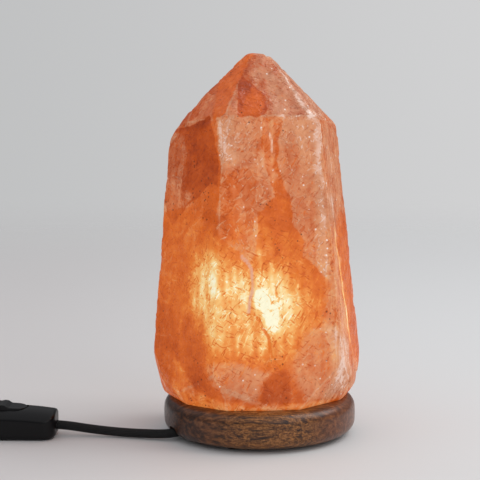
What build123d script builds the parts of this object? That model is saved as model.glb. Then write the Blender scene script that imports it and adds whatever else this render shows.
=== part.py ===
from build123d import *
import math
import os

os.makedirs("parts", exist_ok=True)

# A salt crystal lamp: a hewn, bored block of rock salt on a turned wooden base, with a small screw-cap bulb
# inside, a braided cord with an inline switch, and a two-pin plug. Millimetres and degrees.
# The origin is on the base's axis, on the surface that the lamp stands on. +Z is up, -Y is the front, and the
# cord leaves to the left, towards -X.

# ---- Clearances
FIT_GAP = 0.1  # a fastener, rod or disc in its own hole or seat
SIDE_GAP = 0.3  # curved or moving pieces side by side
HAND_GAP = 0.5  # a moving piece in the opening it works in

# ---- Feet and wooden base
FOOT_DIAMETER = 12.0
FOOT_THICKNESS = 3.0
FOOT_RECESS = 1.0
FOOT_CIRCLE_RADIUS = 48.0
FOOT_ANGLES = (70, 160, 250, 340)
BASE_DIAMETER = 130.0
BASE_HEIGHT = 24.0
BASE_SIDE_SWELL = 1.2  # how far the side bulges past its upper and lower edge
BASE_EDGE_RADIUS = 8.0
BASE_HOLE_DIAMETER = 44.0

# ---- Salt crystal. A facet is (direction, lean, reach): the way it faces in plan, from the front towards the
# right, how far it tips up, and its distance from the axis at the seat, or at the tip for the upper ones.
CRYSTAL_HEIGHT = 230.0
CRYSTAL_BORE_DIAMETER = 46.0
CRYSTAL_BORE_DEPTH = 95.0
BODY_FACETS = (
    (9, 3.2, 54.0),
    (-18, 7.5, 76.0),
    (-46, 4.2, 64.5),
    (76, 6.0, 66.5),
    (127, 6.0, 68.5),
    (187, 5.0, 61.5),
    (-109, 4.0, 65.5),
)
TIP_FACETS = (
    (9, 41.5, 8.5),
    (-52, 43.0, 11.0),
    (82, 43.0, 5.5),
    (130, 43.0, 2.5),
    (187, 42.0, 6.5),
    (-109, 42.0, 7.0),
    (-75, 31.0, 26.0),
)
FOOT_FACETS = (
    (-80, -16.0, 64.0),
    (-62, -30.0, 60.5),
    (-66, -50.0, 58.5),
    (80, -12.0, 62.5),
    (75, -38.0, 58.0),
    (-34, -20.0, 57.0),
    (2, -12.0, 53.5),
    (45, -27.0, 54.0),
    (170, -16.0, 49.5),
    (125, -18.0, 56.0),
    (-125, -20.0, 55.0),
)

# ---- Screws that hold the crystal down
CRYSTAL_SCREW_DIAMETER = 4.0
CRYSTAL_SCREW_LENGTH = 36.0
CRYSTAL_SCREW_HEAD_DIAMETER = 8.0
CRYSTAL_SCREW_HEAD_HEIGHT = 2.8
CRYSTAL_SCREW_SINK = 5.0
CRYSTAL_SCREW_CIRCLE_RADIUS = 36.0
CRYSTAL_SCREW_ANGLES = (0, 120, 240)
DRIVE_SLOT_WIDTH = 1.0
DRIVE_SLOT_DEPTH = 1.2

# ---- Cord, its groove and the strap over it
CORD_DIAMETER = 6.0
CORD_GROOVE_ANGLE = 205.0
CORD_GROOVE_HEIGHT = 4.0  # cord's middle above the underside of the base
CORD_GROOVE_MOUTH_WIDTH = 11.0
CORD_GROOVE_MOUTH_DEPTH = 11.0
CORD_BEND_RADIUS = 11.0
CORD_JOINT_RADIUS = 54.0  # from the lamp's axis, where the cord's laid and free parts meet
CORD_CORNER_RADIUS = 66.5  # from the lamp's axis, where the cord turns towards the switch
CORD_TAIL_IN_HOLDER = 3.0
STRAP_RADIUS = 38.0  # from the lamp's axis
STRAP_LENGTH = 24.0
STRAP_WIDTH = 8.0
STRAP_THICKNESS = 1.2
STRAP_SCREW_SPACING = 17.0
STRAP_SCREW_DIAMETER = 2.4
STRAP_SCREW_LENGTH = 8.0
STRAP_SCREW_HEAD_DIAMETER = 4.6
STRAP_SCREW_HEAD_HEIGHT = 0.8

# ---- Bulb holder
HOLDER_DIAMETER = 28.0
HOLDER_WALL = 1.6
HOLDER_CAP_HEIGHT = 14.0
HOLDER_CAP_FLOOR = 2.5
HOLDER_CAP_RIM = 3.0
HOLDER_SHELL_HEIGHT = 26.0
HOLDER_LIP_HEIGHT = 2.0
HOLDER_MOUTH_DIAMETER = 18.4
INSERT_THICKNESS = 4.0
SCREW_SHELL_HEIGHT = 19.0
SCREW_SHELL_WALL = 0.5
SCREW_SHELL_FLANGE = 2.0
CENTRE_CONTACT_HEIGHT = 3.0
TERMINAL_LENGTH = 5.0
TERMINAL_WIDTH = 6.0
TERMINAL_HEIGHT = 4.5
TERMINAL_OFFSET = 5.5
TERMINAL_SCREW_DIAMETER = 2.4
TERMINAL_SCREW_HEAD_DIAMETER = 3.8
TERMINAL_SCREW_HEAD_HEIGHT = 1.4
TERMINAL_SCREW_DEPTH = 3.0
WIRE_DIAMETER = 1.6
CORE_OFFSET = 1.3  # each insulated core from the middle of the cord
CLIP_THICKNESS = 0.5
CLIP_WIDTH = 7.0
CLIP_COLLAR_HEIGHT = 5.0
CLIP_ARM_HEIGHT = 17.0

# ---- Bulb, with a 14 mm screw cap
THREAD_DIAMETER = 13.9
THREAD_ROOT_DIAMETER = 12.7
THREAD_PITCH = 2.82
THREAD_RINGS = 4
BULB_CAP_WALL = 0.6
BULB_CAP_HEIGHT = 16.2
BULB_COLLAR_DIAMETER = 16.0
BULB_COLLAR_HEIGHT = 3.4
BULB_TIP_DIAMETER = 4.8
BULB_TIP_HEIGHT = 1.5
BULB_INSULATOR_HEIGHT = 2.5
BULB_INSULATOR_DIAMETER = 11.0
BULB_NECK_HEIGHT = 3.3
BULB_SHOULDER_HEIGHT = 24.0
BULB_GLASS_DIAMETER = 26.0
BULB_GLASS_WALL = 0.9
STEM_DIAMETER = 4.4
STEM_HEIGHT = 15.0
STEM_FLARE_HEIGHT = 4.0
LEAD_DIAMETER = 0.7
LEAD_SPREAD = 11.0
LEAD_RISE = 9.0
FILAMENT_DIAMETER = 0.8
FILAMENT_BOW = 4.5

# ---- Inline switch, in its own frame: x along the cord towards the lamp, y across, z up from the table
SWITCH_CENTRE = (-172.6, -14.1)
SWITCH_TURN = -1.5
SWITCH_LENGTH = 72.0
SWITCH_WIDTH = 31.0
SWITCH_HEIGHT = 21.0
SWITCH_SIDE_HEIGHT = 14.4
SWITCH_END_DROP = 2.8  # the top falls this much from the middle to each end
SWITCH_CORNER_RADIUS = 9.0
SWITCH_BOTTOM_EDGE_RADIUS = 3.4
SWITCH_TOP_EDGE_RADIUS = 2.4
SWITCH_WALL = 2.0
SWITCH_SPLIT_HEIGHT = 4.2
SWITCH_CORD_HEIGHT = 7.8
SWITCH_CORD_REACH = 7.0  # how far each cord end comes inside
SWITCH_SCREW_X = 24.0
SWITCH_SCREW_Y = 9.4
SWITCH_SCREW_DIAMETER = 2.4
SWITCH_SCREW_LENGTH = 9.0
SWITCH_SCREW_HEAD_DIAMETER = 4.4
SWITCH_SCREW_HEAD_HEIGHT = 1.2
SWITCH_BOSS_DIAMETER = 4.8
ROCKER_LENGTH = 30.5
ROCKER_WIDTH = 17.0
ROCKER_PIVOT_HEIGHT = 15.4
ROCKER_MID_RISE = 5.6  # where the two wings meet, above the pivot
ROCKER_WING_SLOPE = 7.0  # each wing rises towards its end
ROCKER_RIDGE_RISE = 7.2  # the bar across the middle, above the pivot
ROCKER_RIDGE_WIDTH = 2.4  # along its top
ROCKER_RIDGE_FOOT = 7.6  # along the wings
ROCKER_RIDGE_ROUNDING = 1.4
ROCKER_EDGE_RADIUS = 0.7
ROCKER_TURN = 10.0  # to either side of level
ROCKER_DEPTH = 2.0  # underside below the pivot
ROCKER_WALL = 1.6
TRUNNION_DIAMETER = 3.0
TRUNNION_REACH = 2.4
BEARING_THICKNESS = 2.0
BEARING_LENGTH = 6.4
BEARING_DROP = 3.0  # below the trunnion's middle
POST_DIAMETER = 5.0
PLUNGER_DIAMETER = 2.8
PLUNGER_LENGTH = 5.4
PLUNGER_SPRING_WALL = 0.4
LEVER_LENGTH = 16.0
LEVER_WIDTH = 4.0
LEVER_THICKNESS = 0.6
LEVER_PIVOT_HEIGHT = 6.4
LEVER_PIVOT_DIAMETER = 1.2
LEVER_TURN = 6.0
CONTACT_DIAMETER = 2.4
CONTACT_X = 7.0
RAIL_THICKNESS = 0.8
SWITCH_TERMINAL_X = 16.5
SWITCH_TERMINAL_LENGTH = 6.0
SWITCH_TERMINAL_HEIGHT = 5.4
TERMINAL_SCREW_FLOOR = 1.2  # brass left under each terminal screw
SADDLE_LENGTH = 4.0
SADDLE_WIDTH = 14.0
CLAMP_THICKNESS = 1.2
CLAMP_SCREW_SPACING = 9.6
CLAMP_SCREW_DIAMETER = 1.6
CLAMP_SCREW_LENGTH = 5.0
CLAMP_SCREW_HEAD_DIAMETER = 2.8
CLAMP_SCREW_HEAD_HEIGHT = 0.6
NEUTRAL_WIRE_Y = 5.4
NEUTRAL_WIRE_Z = 4.6
NEUTRAL_WIRE_STRAIGHT = 2.4
NEUTRAL_WIRE_SAG = 0.2

# ---- Free cord and its coil: lamp to switch, switch to coil, coil to plug
CORD_STRAIGHT = 3.0  # the cord runs level this far past the joint,
CORD_CORNER_HEIGHT = 4.2  # then down to this height at the corner
TO_SWITCH_ROUTE = ((-90.0, -19.6, 3.1), (-113.0, -15.6, 4.6))
TO_COIL_ROUTE = ((-224.0, -13.4, 6.2), (-237.0, -15.4, 4.2))
SWITCH_STRAIGHT = 3.0  # the cord is straight this far out of the switch,
COIL_START_STRAIGHT = 10.0  # before the coil's first turn,
COIL_END_STRAIGHT = 12.0  # after its last turn,
PLUG_STRAIGHT = 6.0  # and in front of the plug's strain relief
COIL_CENTRE = (-262.0, 30.0)
COIL_OUTER_RADIUS = 46.0
COIL_PITCH = 6.6
COIL_LAYER_RISE = 6.6
COIL_LIFT = 0.9  # the tie's strap passes under the coil
COIL_TURNS_IN = 3.0
COIL_TURNS_OUT = 2.625
COIL_START_ANGLE = -90.0
TIE_WIDTH = 8.0
TIE_THICKNESS = 1.0
TIE_UNDER_THICKNESS = 0.5
TIE_CORNER_RADIUS = 2.5

# ---- Two-pin plug, in its own frame: x from the cord to the pins
PLUG_START = (-320.5, 35.0)  # where the cord goes into the strain relief
PLUG_TURN = 113.0
PLUG_LENGTH = 34.0
PLUG_FRONT_WIDTH = 26.0
PLUG_REAR_WIDTH = 13.0
PLUG_SHOULDER_LENGTH = 12.0
PLUG_THICKNESS = 14.0
PLUG_CORNER_RADIUS = 4.0
PLUG_EDGE_RADIUS = 2.5
PIN_SPACING = 19.0
PIN_DIAMETER = 4.0
PIN_LENGTH = 19.0
PIN_NECK_DIAMETER = 3.2
PIN_ROOT_DEPTH = 6.0
SLEEVE_LENGTH = 10.0
RELIEF_LENGTH = 16.0
RELIEF_REAR_DIAMETER = 8.0
RELIEF_FRONT_DIAMETER = 11.0
RELIEF_GROOVES = 4
RELIEF_GROOVE_WIDTH = 1.5
RELIEF_GROOVE_DEPTH = 0.8

# ---- Levels that follow from the sizes
BASE_BOTTOM = FOOT_THICKNESS - FOOT_RECESS
SEAT = BASE_BOTTOM + BASE_HEIGHT
TIP = SEAT + CRYSTAL_HEIGHT
GROOVE_Z = BASE_BOTTOM + CORD_GROOVE_HEIGHT
CAP_BOTTOM = GROOVE_Z + CORD_BEND_RADIUS + 1.0
CAP_TOP = CAP_BOTTOM + HOLDER_CAP_HEIGHT
CORD_END_Z = CAP_BOTTOM + CORD_TAIL_IN_HOLDER
SHELL_TOP = CAP_TOP + HOLDER_SHELL_HEIGHT
INSERT_TOP = CAP_TOP + INSERT_THICKNESS
CONTACT_TOP = INSERT_TOP + CENTRE_CONTACT_HEIGHT
BULB_BOTTOM = CONTACT_TOP + SIDE_GAP
CORD_RADIUS = CORD_DIAMETER / 2


# ---- Helpers
def slab(x0, x1, y0, y1, z0, z1):
    """A box between two corners."""
    return Pos((x0 + x1) / 2, (y0 + y1) / 2, (z0 + z1) / 2) * Box(x1 - x0, y1 - y0, z1 - z0)


def rod(radius, z0, z1, x=0.0, y=0.0):
    """An upright cylinder."""
    return Pos(x, y, (z0 + z1) / 2) * Cylinder(radius, z1 - z0)


def cross_rod(radius, y0, y1, x, z):
    """A cylinder along Y."""
    return Pos(x, (y0 + y1) / 2, z) * Rot(90, 0, 0) * Cylinder(radius, y1 - y0)


def turned(*points):
    """A solid of revolution about Z from a closed outline of (radius, z) points."""
    outline = Polyline(*[(r, 0, z) for r, z in points], close=True)
    return revolve(make_face(outline), Axis.Z)


def polar(radius, angle, z=0.0):
    """A point at an angle from +X about the lamp's axis."""
    turn = math.radians(angle)
    return Vector(radius * math.cos(turn), radius * math.sin(turn), z)


def tube(points, diameter, name=None):
    """A round tube along runs joined by arcs as large as the runs allow."""
    stops = [Vector(*p) for p in points]
    radii = []
    for before, here, after in zip(stops, stops[1:], stops[2:]):
        half_turn = math.radians((here - before).get_angle(after - here)) / 2
        shorter = min((here - before).length, (after - here).length)
        radii.append(0.45 * shorter / math.tan(half_turn))
    path = FilletPolyline(*stops, radius=radii)
    section = Plane(origin=path @ 0, z_dir=path % 0) * Circle(diameter / 2)
    solid = sweep(section, path=path)
    if name:
        print(name, "radii", [round(r, 1) for r in radii], "length", round(path.length, 1))
        print(name, "volume", round(solid.volume), "section x length", round(section.area * path.length))
    return solid


def group(solids):
    """Like pieces that share a node, each still a solid of its own."""
    return Compound(children=[s for solid in solids for s in solid.solids()])


def write(node, shape):
    export_step(shape, f"parts/{node}.step")


# ---- Feet and base
def make_feet():
    """Soft pads glued into shallow recesses under the base."""
    pad = fillet(rod(FOOT_DIAMETER / 2, 0, FOOT_THICKNESS).edges().sort_by(Axis.Z)[0], 0.5)
    return group([Pos(polar(FOOT_CIRCLE_RADIUS, angle)) * pad for angle in FOOT_ANGLES])


def groove_space():
    """The cord's groove under the base, with a wider mouth where the cord bends away."""
    width = CORD_DIAMETER + 2 * SIDE_GAP
    inner = BASE_HOLE_DIAMETER / 2 - HOLDER_WALL
    outer = BASE_DIAMETER / 2 + BASE_SIDE_SWELL
    channel = slab(inner, outer, -width / 2, width / 2, 0, GROOVE_Z)
    channel += Pos((inner + outer) / 2, 0, GROOVE_Z) * Rot(0, 90, 0) * Cylinder(width / 2, outer - inner)
    mouth = slab(
        outer - CORD_GROOVE_MOUTH_DEPTH,
        outer,
        -CORD_GROOVE_MOUTH_WIDTH / 2,
        CORD_GROOVE_MOUTH_WIDTH / 2,
        0,
        GROOVE_Z + CORD_RADIUS,
    )
    mouth = fillet(mouth.edges().filter_by(Axis.X).sort_by(Axis.Z)[-2:], 3.0)
    return Rot(0, 0, CORD_GROOVE_ANGLE) * (channel + mouth)


def strap_place(across, z):
    """A point on the strap, across the groove."""
    return Rot(0, 0, CORD_GROOVE_ANGLE) * Pos(STRAP_RADIUS, across, z)


STRAP_TOP = GROOVE_Z - CORD_RADIUS - FIT_GAP
STRAP_BOTTOM = STRAP_TOP - STRAP_THICKNESS


def make_base():
    rim = BASE_DIAMETER / 2
    edge = rim - BASE_SIDE_SWELL
    middle = BASE_BOTTOM + BASE_HEIGHT / 2
    outline = Polyline((edge, 0, SEAT), (0, 0, SEAT), (0, 0, BASE_BOTTOM), (edge, 0, BASE_BOTTOM))
    side = ThreePointArc((edge, 0, BASE_BOTTOM), (rim, 0, middle), (edge, 0, SEAT))
    disc = revolve(make_face([*outline.edges(), side]), Axis.Z)
    disc = fillet(disc.edges().filter_by(GeomType.CIRCLE), BASE_EDGE_RADIUS)
    disc -= rod(BASE_HOLE_DIAMETER / 2, 0, SEAT)
    disc -= groove_space()
    for angle in FOOT_ANGLES:
        recess = rod(FOOT_DIAMETER / 2 + FIT_GAP, 0, FOOT_THICKNESS)
        disc -= Pos(polar(FOOT_CIRCLE_RADIUS, angle)) * recess
    for angle in CRYSTAL_SCREW_ANGLES:
        bolt = rod(CRYSTAL_SCREW_DIAMETER / 2 + FIT_GAP, 0, SEAT)
        bolt += rod(CRYSTAL_SCREW_HEAD_DIAMETER / 2 + SIDE_GAP, 0, BASE_BOTTOM + CRYSTAL_SCREW_SINK)
        disc -= Pos(polar(CRYSTAL_SCREW_CIRCLE_RADIUS, angle)) * bolt
    half = (STRAP_WIDTH + SIDE_GAP) / 2
    reach = (STRAP_LENGTH + SIDE_GAP) / 2
    disc -= strap_place(0, 0) * slab(-half, half, -reach, reach, 0, STRAP_TOP)
    for side_sign in (-1, 1):
        pilot = rod(STRAP_SCREW_DIAMETER / 2 + FIT_GAP, 0, STRAP_BOTTOM + STRAP_SCREW_LENGTH + FIT_GAP)
        disc -= strap_place(side_sign * STRAP_SCREW_SPACING / 2, 0) * pilot
    return disc


def make_strap():
    half = STRAP_WIDTH / 2
    plate = slab(-half, half, -STRAP_LENGTH / 2, STRAP_LENGTH / 2, STRAP_BOTTOM, STRAP_TOP)
    plate = fillet(plate.edges().filter_by(Axis.Z), 2.0)
    for side_sign in (-1, 1):
        hole = rod(STRAP_SCREW_DIAMETER / 2 + FIT_GAP, 0, STRAP_TOP)
        plate -= Pos(0, side_sign * STRAP_SCREW_SPACING / 2, 0) * hole
    return strap_place(0, 0) * plate


def screw(diameter, length, head_diameter, head_height):
    """A cross-slotted screw, head down, with the underside of its head at z = 0."""
    body = rod(diameter / 2, 0, length - diameter / 2)
    body += Pos(0, 0, length - diameter / 4) * Cone(diameter / 2, diameter / 8, diameter / 2)
    head = fillet(rod(head_diameter / 2, -head_height, 0).edges().sort_by(Axis.Z)[0], head_height * 0.4)
    depth = min(DRIVE_SLOT_DEPTH, head_height * 0.6)
    reach = head_diameter * 0.32
    width = min(DRIVE_SLOT_WIDTH, head_diameter * 0.2) / 2
    slot = slab(-reach, reach, -width, width, -head_height, depth - head_height)
    slot += slab(-width, width, -reach, reach, -head_height, depth - head_height)
    return body + head - slot


def make_strap_screws():
    one = screw(STRAP_SCREW_DIAMETER, STRAP_SCREW_LENGTH, STRAP_SCREW_HEAD_DIAMETER, STRAP_SCREW_HEAD_HEIGHT)
    return group([strap_place(s * STRAP_SCREW_SPACING / 2, STRAP_BOTTOM) * one for s in (-1, 1)])


def make_crystal_screws():
    one = screw(
        CRYSTAL_SCREW_DIAMETER,
        CRYSTAL_SCREW_LENGTH,
        CRYSTAL_SCREW_HEAD_DIAMETER,
        CRYSTAL_SCREW_HEAD_HEIGHT,
    )
    head_seat = BASE_BOTTOM + CRYSTAL_SCREW_SINK
    places = [polar(CRYSTAL_SCREW_CIRCLE_RADIUS, angle, head_seat) for angle in CRYSTAL_SCREW_ANGLES]
    return group([Pos(place) * one for place in places])


# ---- Crystal
def facet_plane(facet, level):
    """The plane of a facet, facing outwards. Its reach is measured at the given level."""
    direction, lean, reach = facet
    turn = math.radians(direction)
    tip_up = math.radians(lean)
    across = Vector(math.sin(turn), -math.cos(turn), 0)
    facing = across * math.cos(tip_up) + Vector(0, 0, math.sin(tip_up))
    return Plane(origin=across * reach + Vector(0, 0, level), z_dir=facing)


def make_crystal():
    reach = BASE_DIAMETER
    block = slab(-reach, reach, -reach, reach, SEAT, TIP)
    planes = [facet_plane(f, SEAT) for f in BODY_FACETS + FOOT_FACETS]
    planes += [facet_plane(f, TIP) for f in TIP_FACETS]
    for plane in planes:
        block = split(block, bisect_by=plane, keep=Keep.BOTTOM)
    block -= rod(CRYSTAL_BORE_DIAMETER / 2, SEAT, SEAT + CRYSTAL_BORE_DEPTH)
    screw_top = BASE_BOTTOM + CRYSTAL_SCREW_SINK + CRYSTAL_SCREW_LENGTH
    for angle in CRYSTAL_SCREW_ANGLES:
        pilot = rod(CRYSTAL_SCREW_DIAMETER / 2 + FIT_GAP, SEAT, screw_top + FIT_GAP)
        block -= Pos(polar(CRYSTAL_SCREW_CIRCLE_RADIUS, angle)) * pilot
    return block


# ---- Bulb holder
HOLDER_RADIUS = HOLDER_DIAMETER / 2
HOLDER_BORE = HOLDER_RADIUS - HOLDER_WALL
SCREW_SHELL_BORE = THREAD_DIAMETER / 2 + SIDE_GAP


def make_holder_cap():
    cap = fillet(rod(HOLDER_RADIUS, CAP_BOTTOM, CAP_TOP).edges().sort_by(Axis.Z)[0], 2.0)
    cap -= rod(HOLDER_RADIUS - HOLDER_CAP_RIM, CAP_BOTTOM + HOLDER_CAP_FLOOR, CAP_TOP)
    return cap - rod(CORD_RADIUS + FIT_GAP, CAP_BOTTOM, CAP_TOP)


def make_holder_shell():
    shell = fillet(rod(HOLDER_RADIUS, CAP_TOP, SHELL_TOP).edges().sort_by(Axis.Z)[-1], 1.5)
    shell -= rod(HOLDER_BORE, CAP_TOP, SHELL_TOP - HOLDER_LIP_HEIGHT)
    return shell - rod(HOLDER_MOUTH_DIAMETER / 2, CAP_TOP, SHELL_TOP)


def make_insert():
    """The moulded disc that carries the metal parts, on the cap's rim."""
    return rod(HOLDER_BORE - FIT_GAP, CAP_TOP, INSERT_TOP)


def ringed_outline(bottom, crest, root, rings):
    """The (radius, z) points of a ringed wall, upwards: each ring rises from root to crest and back."""
    points = []
    for ring in range(rings):
        foot = bottom + ring * THREAD_PITCH
        points += [(root, foot), (crest, foot + 0.35 * THREAD_PITCH), (crest, foot + 0.65 * THREAD_PITCH)]
    return points + [(root, bottom + rings * THREAD_PITCH)]


def make_screw_shell():
    """The ringed brass sleeve that the bulb's cap screws into, on a flange on the insert."""
    bore = SCREW_SHELL_BORE
    wall = SCREW_SHELL_WALL
    deep = (THREAD_DIAMETER - THREAD_ROOT_DIAMETER) / 2
    start = INSERT_TOP + THREAD_PITCH
    outside = ringed_outline(start, bore + wall + deep, bore + wall, THREAD_RINGS)
    inside = [(r - wall, z) for r, z in outside]
    top = INSERT_TOP + SCREW_SHELL_HEIGHT
    flange = bore + SCREW_SHELL_FLANGE
    outline = [(bore, INSERT_TOP), (flange, INSERT_TOP), (flange, INSERT_TOP + wall)]
    outline += [(bore + wall, INSERT_TOP + wall), *outside, (bore + wall, top), (bore, top)]
    return turned(*outline, *reversed(inside))


def make_centre_contact():
    """A sprung brass tongue in the middle of the insert."""
    blade = rod(3.0, INSERT_TOP, INSERT_TOP + CLIP_THICKNESS)
    blade += rod(1.4, INSERT_TOP, CONTACT_TOP)
    return blade + rod(2.3, CONTACT_TOP - CLIP_THICKNESS, CONTACT_TOP)


TERMINAL_BOTTOM = CAP_TOP - TERMINAL_HEIGHT


def make_holder_terminals():
    blocks = []
    for side_sign in (-1, 1):
        x = side_sign * TERMINAL_OFFSET
        half = TERMINAL_WIDTH / 2
        block = slab(
            x - TERMINAL_LENGTH / 2, x + TERMINAL_LENGTH / 2, -half, half, TERMINAL_BOTTOM, CAP_TOP
        )
        middle = (TERMINAL_BOTTOM + CAP_TOP) / 2
        depth = -half + TERMINAL_SCREW_DEPTH + FIT_GAP
        block -= cross_rod(TERMINAL_SCREW_DIAMETER / 2 + FIT_GAP, -half, depth, x, middle)
        blocks.append(block)
    return group(blocks)


def make_holder_terminal_screws():
    one = screw(
        TERMINAL_SCREW_DIAMETER,
        TERMINAL_SCREW_DEPTH,
        TERMINAL_SCREW_HEAD_DIAMETER,
        TERMINAL_SCREW_HEAD_HEIGHT,
    )
    middle = (TERMINAL_BOTTOM + CAP_TOP) / 2
    turned_in = Rot(-90, 0, 0) * one
    places = [(s * TERMINAL_OFFSET, -TERMINAL_WIDTH / 2, middle) for s in (-1, 1)]
    return group([Pos(*place) * turned_in for place in places])


def make_holder_wire(side_sign):
    rise = TERMINAL_BOTTOM - CORD_END_Z
    return tube(
        [
            (side_sign * CORE_OFFSET, 0, CORD_END_Z),
            (side_sign * CORE_OFFSET, 0, CORD_END_Z + 0.37 * rise),
            (side_sign * TERMINAL_OFFSET, 0, CORD_END_Z + 0.63 * rise),
            (side_sign * TERMINAL_OFFSET, 0, TERMINAL_BOTTOM),
        ],
        WIRE_DIAMETER,
    )


def make_spring_clip():
    """A steel collar round the holder with two bowed arms that press on the wall of the crystal's bore."""
    inner = HOLDER_RADIUS + FIT_GAP
    bottom = CAP_TOP + 1.0
    top = bottom + CLIP_COLLAR_HEIGHT
    clip = rod(inner + CLIP_THICKNESS, bottom, top) - rod(inner, bottom, top)
    bow = CRYSTAL_BORE_DIAMETER / 2 - SIDE_GAP
    end = inner + 1.2
    arm_top = top + CLIP_ARM_HEIGHT
    middle = top + CLIP_ARM_HEIGHT / 2
    outer = ThreePointArc(
        (0, inner + CLIP_THICKNESS, top), (0, bow, middle), (0, end + CLIP_THICKNESS, arm_top)
    )
    inside = ThreePointArc((0, inner, top), (0, bow - CLIP_THICKNESS, middle), (0, end, arm_top))
    caps = [Line(outer @ 0, inside @ 0), Line(outer @ 1, inside @ 1)]
    arm = extrude(make_face([outer, inside, *caps]), CLIP_WIDTH / 2, both=True)
    root_y = inner + CLIP_THICKNESS
    root = slab(-CLIP_WIDTH / 2, CLIP_WIDTH / 2, 0, root_y, bottom, top) - rod(inner, bottom, top)
    arm += root & rod(inner + CLIP_THICKNESS, bottom, top)
    return clip + arm + mirror(arm, about=Plane.XZ)


# ---- Bulb
BULB_CAP_BOTTOM = BULB_BOTTOM + BULB_TIP_HEIGHT + BULB_INSULATOR_HEIGHT
BULB_CAP_TOP = BULB_CAP_BOTTOM + BULB_CAP_HEIGHT
COLLAR_BOTTOM = BULB_CAP_TOP - BULB_COLLAR_HEIGHT
BULB_CAP_BORE = THREAD_ROOT_DIAMETER / 2 - BULB_CAP_WALL
COLLAR_BORE = BULB_COLLAR_DIAMETER / 2 - BULB_CAP_WALL
NECK_RADIUS = COLLAR_BORE - FIT_GAP
NECK_BOTTOM = COLLAR_BOTTOM + BULB_CAP_WALL + FIT_GAP
GLASS_CENTRE = NECK_BOTTOM + BULB_NECK_HEIGHT + BULB_SHOULDER_HEIGHT
STEM_TOP = NECK_BOTTOM + STEM_HEIGHT
FILAMENT_Z = STEM_TOP + LEAD_RISE


def make_bulb_tip():
    r = BULB_TIP_DIAMETER / 2
    top = BULB_BOTTOM + BULB_TIP_HEIGHT
    chamfered = BULB_BOTTOM + BULB_TIP_HEIGHT * 0.4
    return turned((0, BULB_BOTTOM), (r * 0.75, BULB_BOTTOM), (r, chamfered), (r, top), (0, top))


def make_bulb_insulator():
    low = BULB_BOTTOM + BULB_TIP_HEIGHT
    small = BULB_TIP_DIAMETER / 2 + FIT_GAP
    large = BULB_INSULATOR_DIAMETER / 2
    return turned((0, low), (small, low), (large, BULB_CAP_BOTTOM), (0, BULB_CAP_BOTTOM))


def make_bulb_cap():
    crest = THREAD_DIAMETER / 2
    root = THREAD_ROOT_DIAMETER / 2
    collar = BULB_COLLAR_DIAMETER / 2
    outside = ringed_outline(BULB_CAP_BOTTOM, crest, root, THREAD_RINGS)
    outline = [(BULB_CAP_BORE, BULB_CAP_BOTTOM), *outside, (root, COLLAR_BOTTOM), (collar, COLLAR_BOTTOM)]
    outline += [(collar, BULB_CAP_TOP), (COLLAR_BORE, BULB_CAP_TOP)]
    outline += [(COLLAR_BORE, COLLAR_BOTTOM + BULB_CAP_WALL), (BULB_CAP_BORE, COLLAR_BOTTOM + BULB_CAP_WALL)]
    seat = turned(
        (BULB_CAP_BORE - 1.2, BULB_CAP_BOTTOM),
        (BULB_CAP_BORE, BULB_CAP_BOTTOM),
        (BULB_CAP_BORE, BULB_CAP_BOTTOM + BULB_CAP_WALL),
        (BULB_CAP_BORE - 1.2, BULB_CAP_BOTTOM + BULB_CAP_WALL),
    )
    return turned(*outline) + seat


def glass_body(shrink):
    """The filled outline of the bulb's glass, drawn in by the given amount."""
    neck = NECK_RADIUS - shrink
    belly = BULB_GLASS_DIAMETER / 2 - shrink
    neck_top = NECK_BOTTOM + BULB_NECK_HEIGHT
    halfway = ((neck + belly) / 2, 0, (neck_top + GLASS_CENTRE) / 2)
    flare = TangentArc((neck, 0, neck_top), halfway, tangent=(0, 0, 1))
    swell = TangentArc(halfway, (belly, 0, GLASS_CENTRE), tangent=flare % 1)
    lift = math.sqrt(0.5) * belly
    dome = ThreePointArc(
        (belly, 0, GLASS_CENTRE), (lift, 0, GLASS_CENTRE + lift), (0, 0, GLASS_CENTRE + belly)
    )
    crest = (0, 0, GLASS_CENTRE + belly)
    lines = Polyline(crest, (0, 0, NECK_BOTTOM), (neck, 0, NECK_BOTTOM), (neck, 0, neck_top))
    return revolve(make_face([flare, swell, dome, *lines.edges()]), Axis.Z)


def make_bulb_glass():
    return glass_body(0) - glass_body(BULB_GLASS_WALL)


def make_bulb_stem():
    rim = NECK_RADIUS - BULB_GLASS_WALL - FIT_GAP
    thin = STEM_DIAMETER / 2
    plate = NECK_BOTTOM + 1.0
    stem = turned(
        (0, NECK_BOTTOM),
        (rim, NECK_BOTTOM),
        (rim, plate),
        (thin, plate + STEM_FLARE_HEIGHT),
        (thin, STEM_TOP),
        (0, STEM_TOP),
    )
    for side_sign in (-1, 1):
        stem -= rod(LEAD_DIAMETER / 2 + FIT_GAP, NECK_BOTTOM, STEM_TOP, x=side_sign)
    return stem


def make_lead(side_sign, foot_x, foot_z):
    return tube(
        [
            (foot_x, 0, foot_z),
            (side_sign, 0, NECK_BOTTOM - 2.0),
            (side_sign, 0, STEM_TOP + 2.0),
            (side_sign * LEAD_SPREAD / 2, 0, FILAMENT_Z),
        ],
        LEAD_DIAMETER,
    )


def make_leads():
    to_wall = make_lead(-1, 1.0 - BULB_CAP_BORE, BULB_CAP_BOTTOM + 3.0)
    to_tip = make_lead(1, 0.2, BULB_CAP_BOTTOM)
    return group([to_wall, to_tip])


def make_filament():
    end = LEAD_SPREAD / 2
    low = FILAMENT_Z + FILAMENT_DIAMETER / 2
    path = ThreePointArc((-end, 0, low), (0, 0, low + FILAMENT_BOW), (end, 0, low))
    section = Plane(origin=path @ 0, z_dir=path % 0) * Circle(FILAMENT_DIAMETER / 2)
    return sweep(section, path=path)


# ---- Switch
def switch_place(shape):
    return Location((*SWITCH_CENTRE, 0), (0, 0, SWITCH_TURN)) * shape


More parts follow.
